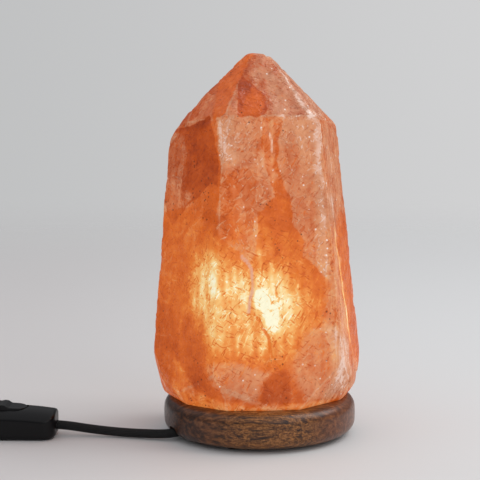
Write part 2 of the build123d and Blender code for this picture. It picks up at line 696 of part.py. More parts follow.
SWITCH_HALF = SWITCH_LENGTH / 2
SWITCH_SIDE = SWITCH_WIDTH / 2
ROCKER_PIVOT = Pos(0, 0, ROCKER_PIVOT_HEIGHT)


def sagitta_radius(half_chord, drop):
    """The radius of an arc that falls by drop over half its chord."""
    return (half_chord**2 + drop**2) / (2 * drop)


def switch_crown(shrink):
    """A block whose top is the switch's crown, arched both along and across, drawn in by the given amount."""
    across = sagitta_radius(SWITCH_SIDE, SWITCH_HEIGHT - SWITCH_SIDE_HEIGHT)
    along = sagitta_radius(SWITCH_HALF, SWITCH_END_DROP)
    radius = across - shrink
    centre = SWITCH_HEIGHT - across
    reach = SWITCH_SIDE + 1.0
    eaves = centre + math.sqrt(radius**2 - reach**2)
    low = -SWITCH_HEIGHT
    arch = ThreePointArc((0, -reach, eaves), (0, 0, centre + radius), (0, reach, eaves))
    walls = Polyline((0, reach, eaves), (0, reach, low), (0, -reach, low), (0, -reach, eaves))
    hinge = Axis((0, 0, SWITCH_HEIGHT - along), (0, 1, 0))
    sweep_angle = 2 * math.degrees(math.asin((SWITCH_HALF + 2.0) / along))
    section = make_face([arch, walls]).rotate(hinge, -sweep_angle / 2)
    return revolve(section, hinge, sweep_angle)


def switch_body(shrink, low, high):
    """The switch's rounded outline with its crowned top, drawn in by the given amount, between two levels."""
    half = SWITCH_HALF - shrink
    side = SWITCH_SIDE - shrink
    body = extrude(RectangleRounded(2 * half, 2 * side, SWITCH_CORNER_RADIUS - shrink), high - low)
    return Pos(0, 0, low) * body & switch_crown(shrink)


def cord_slot(radius, low, high):
    """The way for the cord through both ends, with an open side between two levels."""
    reach = SWITCH_HALF + 1.0
    slot = slab(-reach, reach, -radius, radius, low, high)
    return slot + Pos(0, 0, SWITCH_CORD_HEIGHT) * Rot(0, 90, 0) * Cylinder(radius, 2 * reach)


def screw_places():
    return [(SWITCH_SCREW_X, -SWITCH_SCREW_Y), (-SWITCH_SCREW_X, SWITCH_SCREW_Y)]


SADDLE_X = SWITCH_HALF - SWITCH_WALL - HAND_GAP - SADDLE_LENGTH / 2


def make_lower_housing():
    tray = extrude(
        RectangleRounded(SWITCH_LENGTH, SWITCH_WIDTH, SWITCH_CORNER_RADIUS), SWITCH_SPLIT_HEIGHT
    )
    tray = fillet(tray.faces().sort_by(Axis.Z)[0].edges(), SWITCH_BOTTOM_EDGE_RADIUS)
    inner_length = SWITCH_LENGTH - 2 * SWITCH_WALL
    inner_width = SWITCH_WIDTH - 2 * SWITCH_WALL
    inner_corner = SWITCH_CORNER_RADIUS - SWITCH_WALL
    hollow = extrude(RectangleRounded(inner_length, inner_width, inner_corner), SWITCH_SPLIT_HEIGHT)
    tray -= Pos(0, 0, SWITCH_WALL) * hollow
    for side_sign in (-1, 1):
        x = side_sign * SADDLE_X
        half = SADDLE_LENGTH / 2
        wide = SADDLE_WIDTH / 2
        top = SWITCH_CORD_HEIGHT + CORD_RADIUS
        saddle = slab(x - half, x + half, -wide, wide, SWITCH_WALL, top)
        tray += saddle - cord_slot(CORD_RADIUS + FIT_GAP, SWITCH_CORD_HEIGHT, top)
        for across in (-1, 1):
            pilot = rod(CLAMP_SCREW_DIAMETER / 2 + FIT_GAP, top - CLAMP_SCREW_LENGTH, top)
            tray -= Pos(x, across * CLAMP_SCREW_SPACING / 2, 0) * pilot
    for x, y in screw_places():
        post = rod(SWITCH_BOSS_DIAMETER / 2, SWITCH_WALL, SWITCH_SPLIT_HEIGHT, x, y)
        tray += post
        tray -= rod(SWITCH_SCREW_DIAMETER / 2 + FIT_GAP, 0, SWITCH_SPLIT_HEIGHT, x, y)
        tray -= rod(SWITCH_SCREW_HEAD_DIAMETER / 2 + SIDE_GAP, 0, SWITCH_SCREW_HEAD_HEIGHT + FIT_GAP, x, y)
    return switch_place(tray)


ROCKER_END_RISE = ROCKER_MID_RISE + ROCKER_LENGTH / 2 * math.tan(math.radians(ROCKER_WING_SLOPE))
ROCKER_END_RADIUS = math.hypot(ROCKER_LENGTH / 2, ROCKER_END_RISE)


def make_upper_housing():
    top = SWITCH_HEIGHT + 1.0
    cover = switch_body(0, SWITCH_SPLIT_HEIGHT, top)
    rim = [e for e in cover.edges() if e.center().Z > SWITCH_SPLIT_HEIGHT + 4.0 and e.length > 4.0]
    rim = [e for e in rim if abs(e.tangent_at(0.5).Z) < 0.9]
    cover = fillet(rim, SWITCH_TOP_EDGE_RADIUS)
    cover -= switch_body(SWITCH_WALL, SWITCH_SPLIT_HEIGHT, top)
    cover -= cord_slot(CORD_RADIUS + FIT_GAP, SWITCH_SPLIT_HEIGHT, SWITCH_CORD_HEIGHT)
    opening = SlotOverall(2 * (ROCKER_END_RADIUS + SIDE_GAP), ROCKER_WIDTH + 2 * HAND_GAP)
    cover -= Pos(0, 0, ROCKER_PIVOT_HEIGHT) * extrude(opening, SWITCH_HEIGHT)
    inner = ROCKER_WIDTH / 2 + HAND_GAP
    reach = inner + BEARING_THICKNESS
    half = BEARING_LENGTH / 2
    ear = slab(-half, half, inner, reach, ROCKER_PIVOT_HEIGHT - BEARING_DROP, SWITCH_HEIGHT)
    ear &= switch_body(SWITCH_WALL / 2, SWITCH_SPLIT_HEIGHT, top)
    cover += [ear, mirror(ear, about=Plane.XZ)]
    cover -= cross_rod(TRUNNION_DIAMETER / 2 + FIT_GAP, -reach, reach, 0, ROCKER_PIVOT_HEIGHT)
    screw_top = SWITCH_SCREW_HEAD_HEIGHT + SWITCH_SCREW_LENGTH + 2 * FIT_GAP
    posts = []
    for x, y in screw_places():
        post = rod(SWITCH_BOSS_DIAMETER / 2, SWITCH_SPLIT_HEIGHT, SWITCH_HEIGHT, x, y)
        post &= switch_body(SWITCH_WALL / 2, SWITCH_SPLIT_HEIGHT, top)
        posts.append(post - rod(SWITCH_SCREW_DIAMETER / 2 + FIT_GAP, SWITCH_SPLIT_HEIGHT, screw_top, x, y))
    cover += posts
    return switch_place(cover)


def at_rest(shape, turn):
    """A piece made level about the rocker's pivot, turned to its place."""
    return ROCKER_PIVOT * Rot(0, turn, 0) * ROCKER_PIVOT.inverse() * shape


SPRING_BORE = PLUNGER_DIAMETER / 2 + FIT_GAP
POST_BOTTOM = ROCKER_PIVOT_HEIGHT - 4.0
SPRING_TOP = ROCKER_PIVOT_HEIGHT + 2.0
LEVER_TOP = LEVER_PIVOT_HEIGHT + 0.2 + LEVER_THICKNESS
PLUNGER_TIP = LEVER_TOP + SIDE_GAP
PLUNGER_TOP = PLUNGER_TIP + PLUNGER_LENGTH


def is_across(edge):
    """Whether an edge runs straight across the switch."""
    return edge.geom_type == GeomType.LINE and abs(edge.tangent_at(0.5).Y) > 0.98


def make_rocker():
    """Two wings that rise outwards from a bar across the middle, on a hollow body with two trunnions."""
    low = ROCKER_PIVOT_HEIGHT - ROCKER_DEPTH
    mid = ROCKER_PIVOT_HEIGHT + ROCKER_MID_RISE
    end = ROCKER_PIVOT_HEIGHT + ROCKER_END_RISE
    crest = ROCKER_PIVOT_HEIGHT + ROCKER_RIDGE_RISE
    half = ROCKER_LENGTH / 2
    foot = ROCKER_RIDGE_FOOT / 2
    foot_z = mid + foot * math.tan(math.radians(ROCKER_WING_SLOPE))
    right = [(ROCKER_RIDGE_WIDTH / 2, 0, crest), (foot, 0, foot_z), (half, 0, end)]
    left = [(-x, y, z) for x, y, z in reversed(right)]
    top = FilletPolyline(*left, *right, radius=ROCKER_RIDGE_ROUNDING)
    under = Polyline((half, 0, end), (half, 0, low), (-half, 0, low), (-half, 0, end))
    blank = extrude(make_face([top, under]), ROCKER_WIDTH / 2, both=True)
    blank &= Pos(0, 0, low) * extrude(SlotOverall(ROCKER_LENGTH, ROCKER_WIDTH), end - low + 1.0)
    rim = blank.edges().filter_by(lambda e: e.center().Z > mid and not is_across(e))
    blank = fillet(rim, ROCKER_EDGE_RADIUS)
    hollow_length = ROCKER_LENGTH - 2 * ROCKER_WALL
    hollow_width = ROCKER_WIDTH - 2 * ROCKER_WALL
    hollow_height = ROCKER_DEPTH + ROCKER_MID_RISE - ROCKER_WALL
    blank -= Pos(0, 0, low) * extrude(SlotOverall(hollow_length, hollow_width), hollow_height)
    blank += rod(POST_DIAMETER / 2, POST_BOTTOM, low + hollow_height)
    blank -= rod(SPRING_BORE, POST_BOTTOM, SPRING_TOP)
    reach = ROCKER_WIDTH / 2 + TRUNNION_REACH
    for side_sign in (-1, 1):
        ends = sorted((side_sign * (ROCKER_WIDTH / 2 - ROCKER_WALL), side_sign * reach))
        blank += cross_rod(TRUNNION_DIAMETER / 2, ends[0], ends[1], 0, ROCKER_PIVOT_HEIGHT)
    return switch_place(at_rest(blank, ROCKER_TURN))


def make_plunger():
    pin = rod(PLUNGER_DIAMETER / 2, PLUNGER_TIP, PLUNGER_TOP)
    pin = fillet(pin.edges().sort_by(Axis.Z)[0], PLUNGER_DIAMETER * 0.4)
    return switch_place(at_rest(pin, ROCKER_TURN))


def make_plunger_spring():
    radius = PLUNGER_DIAMETER / 2
    spring = rod(radius, PLUNGER_TOP, SPRING_TOP) - rod(radius - PLUNGER_SPRING_WALL, PLUNGER_TOP, SPRING_TOP)
    return switch_place(at_rest(spring, ROCKER_TURN))


def make_contact_lever():
    """The brass see-saw that the plunger tips onto the fixed contact."""
    half = LEVER_LENGTH / 2
    low = LEVER_TOP - LEVER_THICKNESS
    blade = slab(-half, half, -LEVER_WIDTH / 2, LEVER_WIDTH / 2, low, LEVER_TOP)
    blade += cross_rod(LEVER_PIVOT_DIAMETER / 2, -LEVER_WIDTH / 2, LEVER_WIDTH / 2, 0, LEVER_PIVOT_HEIGHT)
    pivot = Pos(0, 0, LEVER_PIVOT_HEIGHT)
    return switch_place(pivot * Rot(0, -LEVER_TURN, 0) * pivot.inverse() * blade)


def make_switch_terminals():
    """Two brass rails on the floor of the switch: one under the lever's middle, one under its far end."""
    half = LEVER_WIDTH / 2
    floor = SWITCH_WALL
    rail_top = floor + RAIL_THICKNESS
    block_end = SWITCH_TERMINAL_X + SWITCH_TERMINAL_LENGTH / 2
    block_start = block_end - SWITCH_TERMINAL_LENGTH
    tip = LEVER_TOP - LEVER_THICKNESS - SIDE_GAP
    block_top = floor + SWITCH_TERMINAL_HEIGHT
    block = slab(block_start, block_end, -half, half, floor, block_top)
    screw_hole = rod(CLAMP_SCREW_DIAMETER / 2 + FIT_GAP, floor + 1.0, block_top, SWITCH_TERMINAL_X)
    pivot_rail = slab(-1.5, block_start, -half, half, floor, rail_top) + block
    crest = LEVER_PIVOT_HEIGHT - LEVER_PIVOT_DIAMETER / 2 - SIDE_GAP
    ridge = make_face(
        Polyline((-1.5, 0, rail_top), (1.5, 0, rail_top), (0.4, 0, crest), (-0.4, 0, crest), close=True)
    )
    pivot_rail += extrude(ridge, half, both=True)
    pivot_rail -= screw_hole
    contact_rail = slab(CONTACT_X - 2.0, block_start, -half, half, floor, rail_top) + block
    drop = (CONTACT_X + CONTACT_DIAMETER / 2) * math.sin(math.radians(LEVER_TURN))
    contact_rail += rod(CONTACT_DIAMETER / 2, rail_top, tip - drop, CONTACT_X)
    contact_rail -= screw_hole
    return switch_place(group([pivot_rail, mirror(contact_rail, about=Plane.YZ)]))


def make_switch_terminal_screws():
    length = SWITCH_TERMINAL_HEIGHT - TERMINAL_SCREW_FLOOR
    one = screw(CLAMP_SCREW_DIAMETER, length, CLAMP_SCREW_HEAD_DIAMETER, CLAMP_SCREW_HEAD_HEIGHT)
    seat = SWITCH_WALL + SWITCH_TERMINAL_HEIGHT
    places = [Pos(s * SWITCH_TERMINAL_X, 0, seat) * Rot(180, 0, 0) * one for s in (-1, 1)]
    return switch_place(group(places))


def make_switch_clamps():
    """Plates that hold each cord end down on its saddle."""
    top = SWITCH_CORD_HEIGHT + CORD_RADIUS + FIT_GAP
    plates = []
    for side_sign in (-1, 1):
        half = SADDLE_LENGTH / 2
        wide = SADDLE_WIDTH / 2
        plate = slab(-half, half, -wide, wide, top, top + CLAMP_THICKNESS)
        for across in (-1, 1):
            hole = rod(CLAMP_SCREW_DIAMETER / 2 + FIT_GAP, top, top + CLAMP_THICKNESS)
            plate -= Pos(0, across * CLAMP_SCREW_SPACING / 2, 0) * hole
        plates.append(Pos(side_sign * SADDLE_X, 0, 0) * plate)
    return switch_place(group(plates))


def make_switch_clamp_screws():
    one = screw(CLAMP_SCREW_DIAMETER, CLAMP_SCREW_LENGTH, CLAMP_SCREW_HEAD_DIAMETER, CLAMP_SCREW_HEAD_HEIGHT)
    seat = SWITCH_CORD_HEIGHT + CORD_RADIUS + FIT_GAP + CLAMP_THICKNESS
    places = []
    for side_sign in (-1, 1):
        for across in (-1, 1):
            spot = Pos(side_sign * SADDLE_X, across * CLAMP_SCREW_SPACING / 2, seat)
            places.append(spot * Rot(180, 0, 0) * one)
    return switch_place(group(places))


def make_switch_housing_screws():
    head = (SWITCH_SCREW_HEAD_DIAMETER, SWITCH_SCREW_HEAD_HEIGHT)
    one = screw(SWITCH_SCREW_DIAMETER, SWITCH_SCREW_LENGTH, *head)
    places = [Pos(x, y, SWITCH_SCREW_HEAD_HEIGHT + FIT_GAP) * one for x, y in screw_places()]
    return switch_place(group(places))


CORD_END_X = SWITCH_HALF - SWITCH_CORD_REACH


def make_switch_live_wires():
    start = SWITCH_TERMINAL_X + SWITCH_TERMINAL_LENGTH / 2
    level = SWITCH_WALL + SWITCH_TERMINAL_HEIGHT / 2
    straight = 0.35 * (CORD_END_X - start)
    wires = []
    for side_sign in (-1, 1):
        points = [
            (side_sign * CORD_END_X, -CORE_OFFSET, SWITCH_CORD_HEIGHT),
            (side_sign * (CORD_END_X - straight), -CORE_OFFSET, SWITCH_CORD_HEIGHT),
            (side_sign * (start + straight), -CORE_OFFSET / 2, level),
            (side_sign * start, -CORE_OFFSET / 2, level),
        ]
        wires.append(tube(points, WIRE_DIAMETER))
    return switch_place(group(wires))


def make_switch_neutral_wire():
    straight = NEUTRAL_WIRE_STRAIGHT
    bend = WIRE_DIAMETER
    end = [
        (CORD_END_X, CORE_OFFSET, SWITCH_CORD_HEIGHT),
        (CORD_END_X - straight, CORE_OFFSET, SWITCH_CORD_HEIGHT),
        (CORD_END_X - 2 * straight, NEUTRAL_WIRE_Y - bend, NEUTRAL_WIRE_Z + bend),
        (CORD_END_X - 5 * straight, NEUTRAL_WIRE_Y, NEUTRAL_WIRE_Z),
    ]
    other = [(-x, y, z) for x, y, z in reversed(end)]
    middle = [(0, NEUTRAL_WIRE_Y + NEUTRAL_WIRE_SAG, NEUTRAL_WIRE_Z - NEUTRAL_WIRE_SAG)]
    return switch_place(tube(end + middle + other, WIRE_DIAMETER))


# ---- Cord in the base
def make_cord_in_base():
    """From the rim along the groove, then up into the holder on the lamp's axis."""
    start = polar(CORD_JOINT_RADIUS, CORD_GROOVE_ANGLE, GROOVE_Z)
    run_end = polar(CORD_BEND_RADIUS, CORD_GROOVE_ANGLE, GROOVE_Z)
    rise = Vector(0, 0, GROOVE_Z + CORD_BEND_RADIUS)
    run = Line(start, run_end)
    bend = TangentArc(run_end, rise, tangent=run_end * -1 + Vector(0, 0, GROOVE_Z))
    tail = Line(rise, (0, 0, CORD_END_Z))
    path = Wire([run, bend, tail])
    section = Plane(origin=start, z_dir=start * -1 + Vector(0, 0, GROOVE_Z)) * Circle(CORD_RADIUS)
    return sweep(section, path=path)


# ---- Free cord
def switch_point(x):
    """A point on the switch's cord line, in the lamp's frame."""
    turn = math.radians(SWITCH_TURN)
    return (
        SWITCH_CENTRE[0] + x * math.cos(turn),
        SWITCH_CENTRE[1] + x * math.sin(turn),
        SWITCH_CORD_HEIGHT,
    )


def make_cord_to_switch():
    start = polar(CORD_JOINT_RADIUS, CORD_GROOVE_ANGLE, GROOVE_Z)
    level = polar(CORD_JOINT_RADIUS + CORD_STRAIGHT, CORD_GROOVE_ANGLE, GROOVE_Z)
    corner = polar(CORD_CORNER_RADIUS, CORD_GROOVE_ANGLE, CORD_CORNER_HEIGHT)
    points = [tuple(start), tuple(level), tuple(corner), *TO_SWITCH_ROUTE]
    points += [switch_point(SWITCH_HALF + SWITCH_STRAIGHT), switch_point(CORD_END_X)]
    return tube(points, CORD_DIAMETER, "cord_lamp_to_switch")


COIL_LOW_Z = CORD_RADIUS + COIL_LIFT
HALF_TURNS_IN = COIL_TURNS_IN * 2 * math.pi
CLIMB_END = HALF_TURNS_IN + math.pi
COIL_END = CLIMB_END + COIL_TURNS_OUT * 2 * math.pi
COIL_INNER_RADIUS = COIL_OUTER_RADIUS - COIL_PITCH * COIL_TURNS_IN


def coil_point(turned_by):
    """The coil's middle line after turning by an angle in radians: in, up a layer in half a turn, and out."""
    radius = COIL_OUTER_RADIUS - COIL_PITCH * turned_by / (2 * math.pi)
    level = 0.0
    middle = (HALF_TURNS_IN + CLIMB_END) / 2
    if turned_by > middle:
        deepest = COIL_OUTER_RADIUS - COIL_PITCH * middle / (2 * math.pi)
        radius = deepest + COIL_PITCH * (turned_by - middle) / (2 * math.pi)
    if turned_by > HALF_TURNS_IN:
        share = min(1.0, (turned_by - HALF_TURNS_IN) / math.pi)
        level = COIL_LAYER_RISE * (1 - math.cos(math.pi * share)) / 2
    angle = math.radians(COIL_START_ANGLE) - turned_by
    return Vector(
        COIL_CENTRE[0] + radius * math.cos(angle),
        COIL_CENTRE[1] + radius * math.sin(angle),
        COIL_LOW_Z + level,
    )


def coil_heading(turned_by):
    """The direction of the coil's middle line."""
    step = 0.001
    return (coil_point(turned_by + step) - coil_point(turned_by - step)).normalized()


def biarc(start, start_way, end, end_way):
    """Two tangent arcs from one point and direction to another."""
    chord = end - start
    ways = start_way + end_way
    pull = 2 * (1 - start_way.dot(end_way))
    reach = (-chord.dot(ways) + math.sqrt(chord.dot(ways) ** 2 + pull * chord.dot(chord))) / pull
    first = start + start_way * reach
    second = end - end_way * reach
    joint = (first + second) / 2
    return [TangentArc(start, joint, tangent=start_way), TangentArc(joint, end, tangent=second - first)]


def coil_stations():
    """Where the biarcs meet: about every quarter turn."""
    quarters = math.ceil(COIL_END / (math.pi / 2) - 1e-6)
    return [COIL_END * k / quarters for k in range(quarters + 1)]


def coil_start_way():
    return coil_heading(0.002)


def coil_entry():
    """Where the straight stretch before the first turn starts."""
    return coil_point(0) - coil_start_way() * CORD_DIAMETER


def coil_exit():
    """Where the straight stretch after the last turn ends."""
    return coil_point(COIL_END) + coil_heading(COIL_END) * CORD_DIAMETER


def make_cord_coil():
    stations = coil_stations()
    points = [coil_point(s) for s in stations]
    ways = [coil_start_way()] + [coil_heading(s) for s in stations[1:]]
    edges = [Line(coil_entry(), points[0])]
    for k in range(len(points) - 1):
        edges += biarc(points[k], ways[k], points[k + 1], ways[k + 1])
    edges.append(Line(points[-1], coil_exit()))
    path = Wire(edges)
    section = Plane(origin=path @ 0, z_dir=path % 0) * Circle(CORD_RADIUS)
    solid = sweep(section, path=path)
    print("cord_coil turns", round(COIL_END / (2 * math.pi), 2), "length", round(path.length, 1))
    print("cord_coil volume", round(solid.volume), "section x length", round(section.area * path.length))
    print("cord_coil least gap to itself", round(least_gap(path), 2))
    return solid


def least_gap(path):
    """The smallest distance between the tube's own surfaces, on points more than a third of a turn apart."""
    count = 700
    spots = [path @ (k / count) for k in range(count + 1)]
    apart = int(COIL_INNER_RADIUS * 2.1 / (path.length / count))
    least = math.inf
    for i, spot in enumerate(spots):
        for other in spots[i + apart :]:
            least = min(least, (spot - other).length)
    return least - CORD_DIAMETER


def make_cord_to_coil():
    starts = [switch_point(-CORD_END_X), switch_point(-SWITCH_HALF - SWITCH_STRAIGHT)]
    straight = coil_entry() - coil_start_way() * COIL_START_STRAIGHT
    ends = [tuple(straight), tuple(coil_entry())]
    return tube([*starts, *TO_COIL_ROUTE, *ends], CORD_DIAMETER, "cord_switch_to_coil")


def plug_place(shape):
    return Location((*PLUG_START, 0), (0, 0, PLUG_TURN)) * shape


def make_cord_to_plug():
    plug_origin = Vector(*PLUG_START, PLUG_THICKNESS / 2)
    plug_way = polar(1.0, PLUG_TURN)
    route = [
        coil_exit(),
        coil_exit() + coil_heading(COIL_END) * COIL_END_STRAIGHT,
        plug_origin - plug_way * PLUG_STRAIGHT,
        plug_origin + plug_way * RELIEF_LENGTH,
    ]
    return tube([tuple(p) for p in route], CORD_DIAMETER, "cord_coil_to_plug")


def make_coil_tie():
    """A soft strap round all the turns, at the back of the coil."""
    inner = COIL_INNER_RADIUS - CORD_RADIUS - 0.7
    outer = COIL_OUTER_RADIUS - COIL_PITCH / 2 + CORD_RADIUS + SIDE_GAP
    top = COIL_LOW_Z + COIL_LAYER_RISE + CORD_RADIUS + SIDE_GAP
    half = TIE_WIDTH / 2
    band = slab(-half, half, inner - TIE_THICKNESS, outer + TIE_THICKNESS, 0, top + TIE_THICKNESS)
    band = fillet(band.edges().filter_by(Axis.X).sort_by(Axis.Z)[-2:], TIE_CORNER_RADIUS)
    band -= slab(-half, half, inner, outer, TIE_UNDER_THICKNESS, top)
    return Pos(*COIL_CENTRE, 0) * band


# ---- Plug
def make_plug_body():
    rear = PLUG_REAR_WIDTH / 2
    front = PLUG_FRONT_WIDTH / 2
    start = RELIEF_LENGTH
    end = start + PLUG_LENGTH
    outline = Polyline(
        (start, -rear),
        (start + PLUG_SHOULDER_LENGTH, -front),
        (end, -front),
        (end, front),
        (start + PLUG_SHOULDER_LENGTH, front),
        (start, rear),
        close=True,
    )
    body = extrude(make_face(outline), PLUG_THICKNESS)
    body = fillet(body.edges().filter_by(Axis.Z), PLUG_CORNER_RADIUS)
    rims = [body.faces().sort_by(Axis.Z)[k].edges() for k in (0, -1)]
    body = fillet([e for rim in rims for e in rim], PLUG_EDGE_RADIUS)
    level = PLUG_THICKNESS / 2
    for side_sign in (-1, 1):
        hole = Rot(0, 90, 0) * Cylinder(PIN_NECK_DIAMETER / 2 + FIT_GAP, PIN_ROOT_DEPTH)
        body -= Pos(end - PIN_ROOT_DEPTH / 2, side_sign * PIN_SPACING / 2, level) * hole
    return plug_place(body)


def make_relief():
    """The tapered sleeve behind the plug, with flexing grooves."""
    level = PLUG_THICKNESS / 2
    rear = RELIEF_REAR_DIAMETER / 2
    front = RELIEF_FRONT_DIAMETER / 2
    bore = CORD_RADIUS + FIT_GAP
    outline = [(bore, 0), (rear, 0)]
    step = (RELIEF_LENGTH - 4.0) / RELIEF_GROOVES
    for k in range(RELIEF_GROOVES):
        x0 = 2.0 + k * step
        r = rear + (front - rear) * x0 / RELIEF_LENGTH
        outline += [(r, x0), (r - RELIEF_GROOVE_DEPTH, x0)]
        outline += [(r - RELIEF_GROOVE_DEPTH, x0 + RELIEF_GROOVE_WIDTH), (r, x0 + RELIEF_GROOVE_WIDTH)]
    outline += [(front, RELIEF_LENGTH), (bore, RELIEF_LENGTH)]
    return plug_place(Pos(0, 0, level) * Rot(0, 90, 0) * turned(*outline))


def make_plug_pins():
    face = RELIEF_LENGTH + PLUG_LENGTH
    level = PLUG_THICKNESS / 2
    neck = PIN_NECK_DIAMETER / 2
    thick = PIN_DIAMETER / 2
    one = rod(neck, face - PIN_ROOT_DEPTH, face + SLEEVE_LENGTH)
    shaft = rod(thick, face + SLEEVE_LENGTH, face + PIN_LENGTH)
    one += fillet(shaft.edges().sort_by(Axis.Z)[-1], thick * 0.6)
    lying = Rot(0, 90, 0) * one
    return plug_place(group([Pos(0, s * PIN_SPACING / 2, level) * lying for s in (-1, 1)]))


def make_pin_sleeves():
    face = RELIEF_LENGTH + PLUG_LENGTH
    level = PLUG_THICKNESS / 2
    one = rod(PIN_DIAMETER / 2, face, face + SLEEVE_LENGTH)
    one -= rod(PIN_NECK_DIAMETER / 2 + FIT_GAP, face, face + SLEEVE_LENGTH)
    lying = Rot(0, 90, 0) * one
    return plug_place(group([Pos(0, s * PIN_SPACING / 2, level) * lying for s in (-1, 1)]))


# ---- All nodes
write("base_feet", make_feet())
write("wooden_base", make_base())
write("cord_strap", make_strap())
write("cord_strap_screws", make_strap_screws())
write("crystal_screws", make_crystal_screws())
write("salt_crystal", make_crystal())
write("holder_cap", make_holder_cap())
write("holder_shell", make_holder_shell())
write("holder_insert", make_insert())
write("holder_screw_shell", make_screw_shell())
write("holder_centre_contact", make_centre_contact())
write("holder_terminals", make_holder_terminals())
write("holder_terminal_screws", make_holder_terminal_screws())
write("holder_live_wire", make_holder_wire(1))
write("holder_neutral_wire", make_holder_wire(-1))
write("holder_spring_clip", make_spring_clip())
write("bulb_tip_contact", make_bulb_tip())
write("bulb_insulator", make_bulb_insulator())
write("bulb_cap", make_bulb_cap())
write("bulb_glass", make_bulb_glass())
write("bulb_stem", make_bulb_stem())
write("bulb_lead_wires", make_leads())
write("bulb_filament", make_filament())
write("switch_lower_housing", make_lower_housing())
write("switch_upper_housing", make_upper_housing())
write("switch_rocker", make_rocker())
write("switch_plunger", make_plunger())
write("switch_plunger_spring", make_plunger_spring())
write("switch_contact_lever", make_contact_lever())
write("switch_terminals", make_switch_terminals())
write("switch_terminal_screws", make_switch_terminal_screws())
write("switch_cord_clamps", make_switch_clamps())
write("switch_clamp_screws", make_switch_clamp_screws())
write("switch_housing_screws", make_switch_housing_screws())
write("switch_live_wires", make_switch_live_wires())
write("switch_neutral_wire", make_switch_neutral_wire())
write("cord_in_base", make_cord_in_base())
write("cord_lamp_to_switch", make_cord_to_switch())
write("cord_switch_to_coil", make_cord_to_coil())
write("cord_coil", make_cord_coil())
write("cord_coil_to_plug", make_cord_to_plug())
write("coil_tie", make_coil_tie())
write("plug_strain_relief", make_relief())
write("plug_body", make_plug_body())
write("plug_pins", make_plug_pins())
write("plug_pin_sleeves", make_pin_sleeves())
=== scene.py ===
import math

import bmesh
import bpy
import numpy as np
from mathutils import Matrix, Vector, noise


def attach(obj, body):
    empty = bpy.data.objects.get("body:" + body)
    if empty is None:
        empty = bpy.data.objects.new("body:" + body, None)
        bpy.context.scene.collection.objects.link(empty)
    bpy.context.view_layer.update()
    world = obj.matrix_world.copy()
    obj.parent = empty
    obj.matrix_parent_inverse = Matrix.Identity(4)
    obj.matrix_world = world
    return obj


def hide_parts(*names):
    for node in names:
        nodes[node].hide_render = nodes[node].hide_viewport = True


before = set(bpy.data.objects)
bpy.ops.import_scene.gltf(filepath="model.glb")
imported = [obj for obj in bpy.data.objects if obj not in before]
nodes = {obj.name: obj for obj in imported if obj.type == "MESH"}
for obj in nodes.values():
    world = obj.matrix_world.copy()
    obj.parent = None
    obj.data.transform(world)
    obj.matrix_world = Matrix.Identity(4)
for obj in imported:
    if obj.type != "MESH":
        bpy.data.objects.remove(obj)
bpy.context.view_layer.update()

MM = 0.001
scene = bpy.context.scene
scene.view_settings.view_transform = "Standard"

# ---------------------------------------------------------------- camera
CAMERA_PLACE = (-0.0133, -1.0, 0.2567)
CAMERA_PITCH = 82.84
CAMERA_VIEW = 18.23

camera = bpy.data.objects.new("camera", bpy.data.cameras.new("camera"))
camera.location = CAMERA_PLACE
camera.rotation_euler = (math.radians(CAMERA_PITCH), 0, 0)
camera.data.angle = math.radians(CAMERA_VIEW)
scene.collection.objects.link(camera)
scene.camera = camera


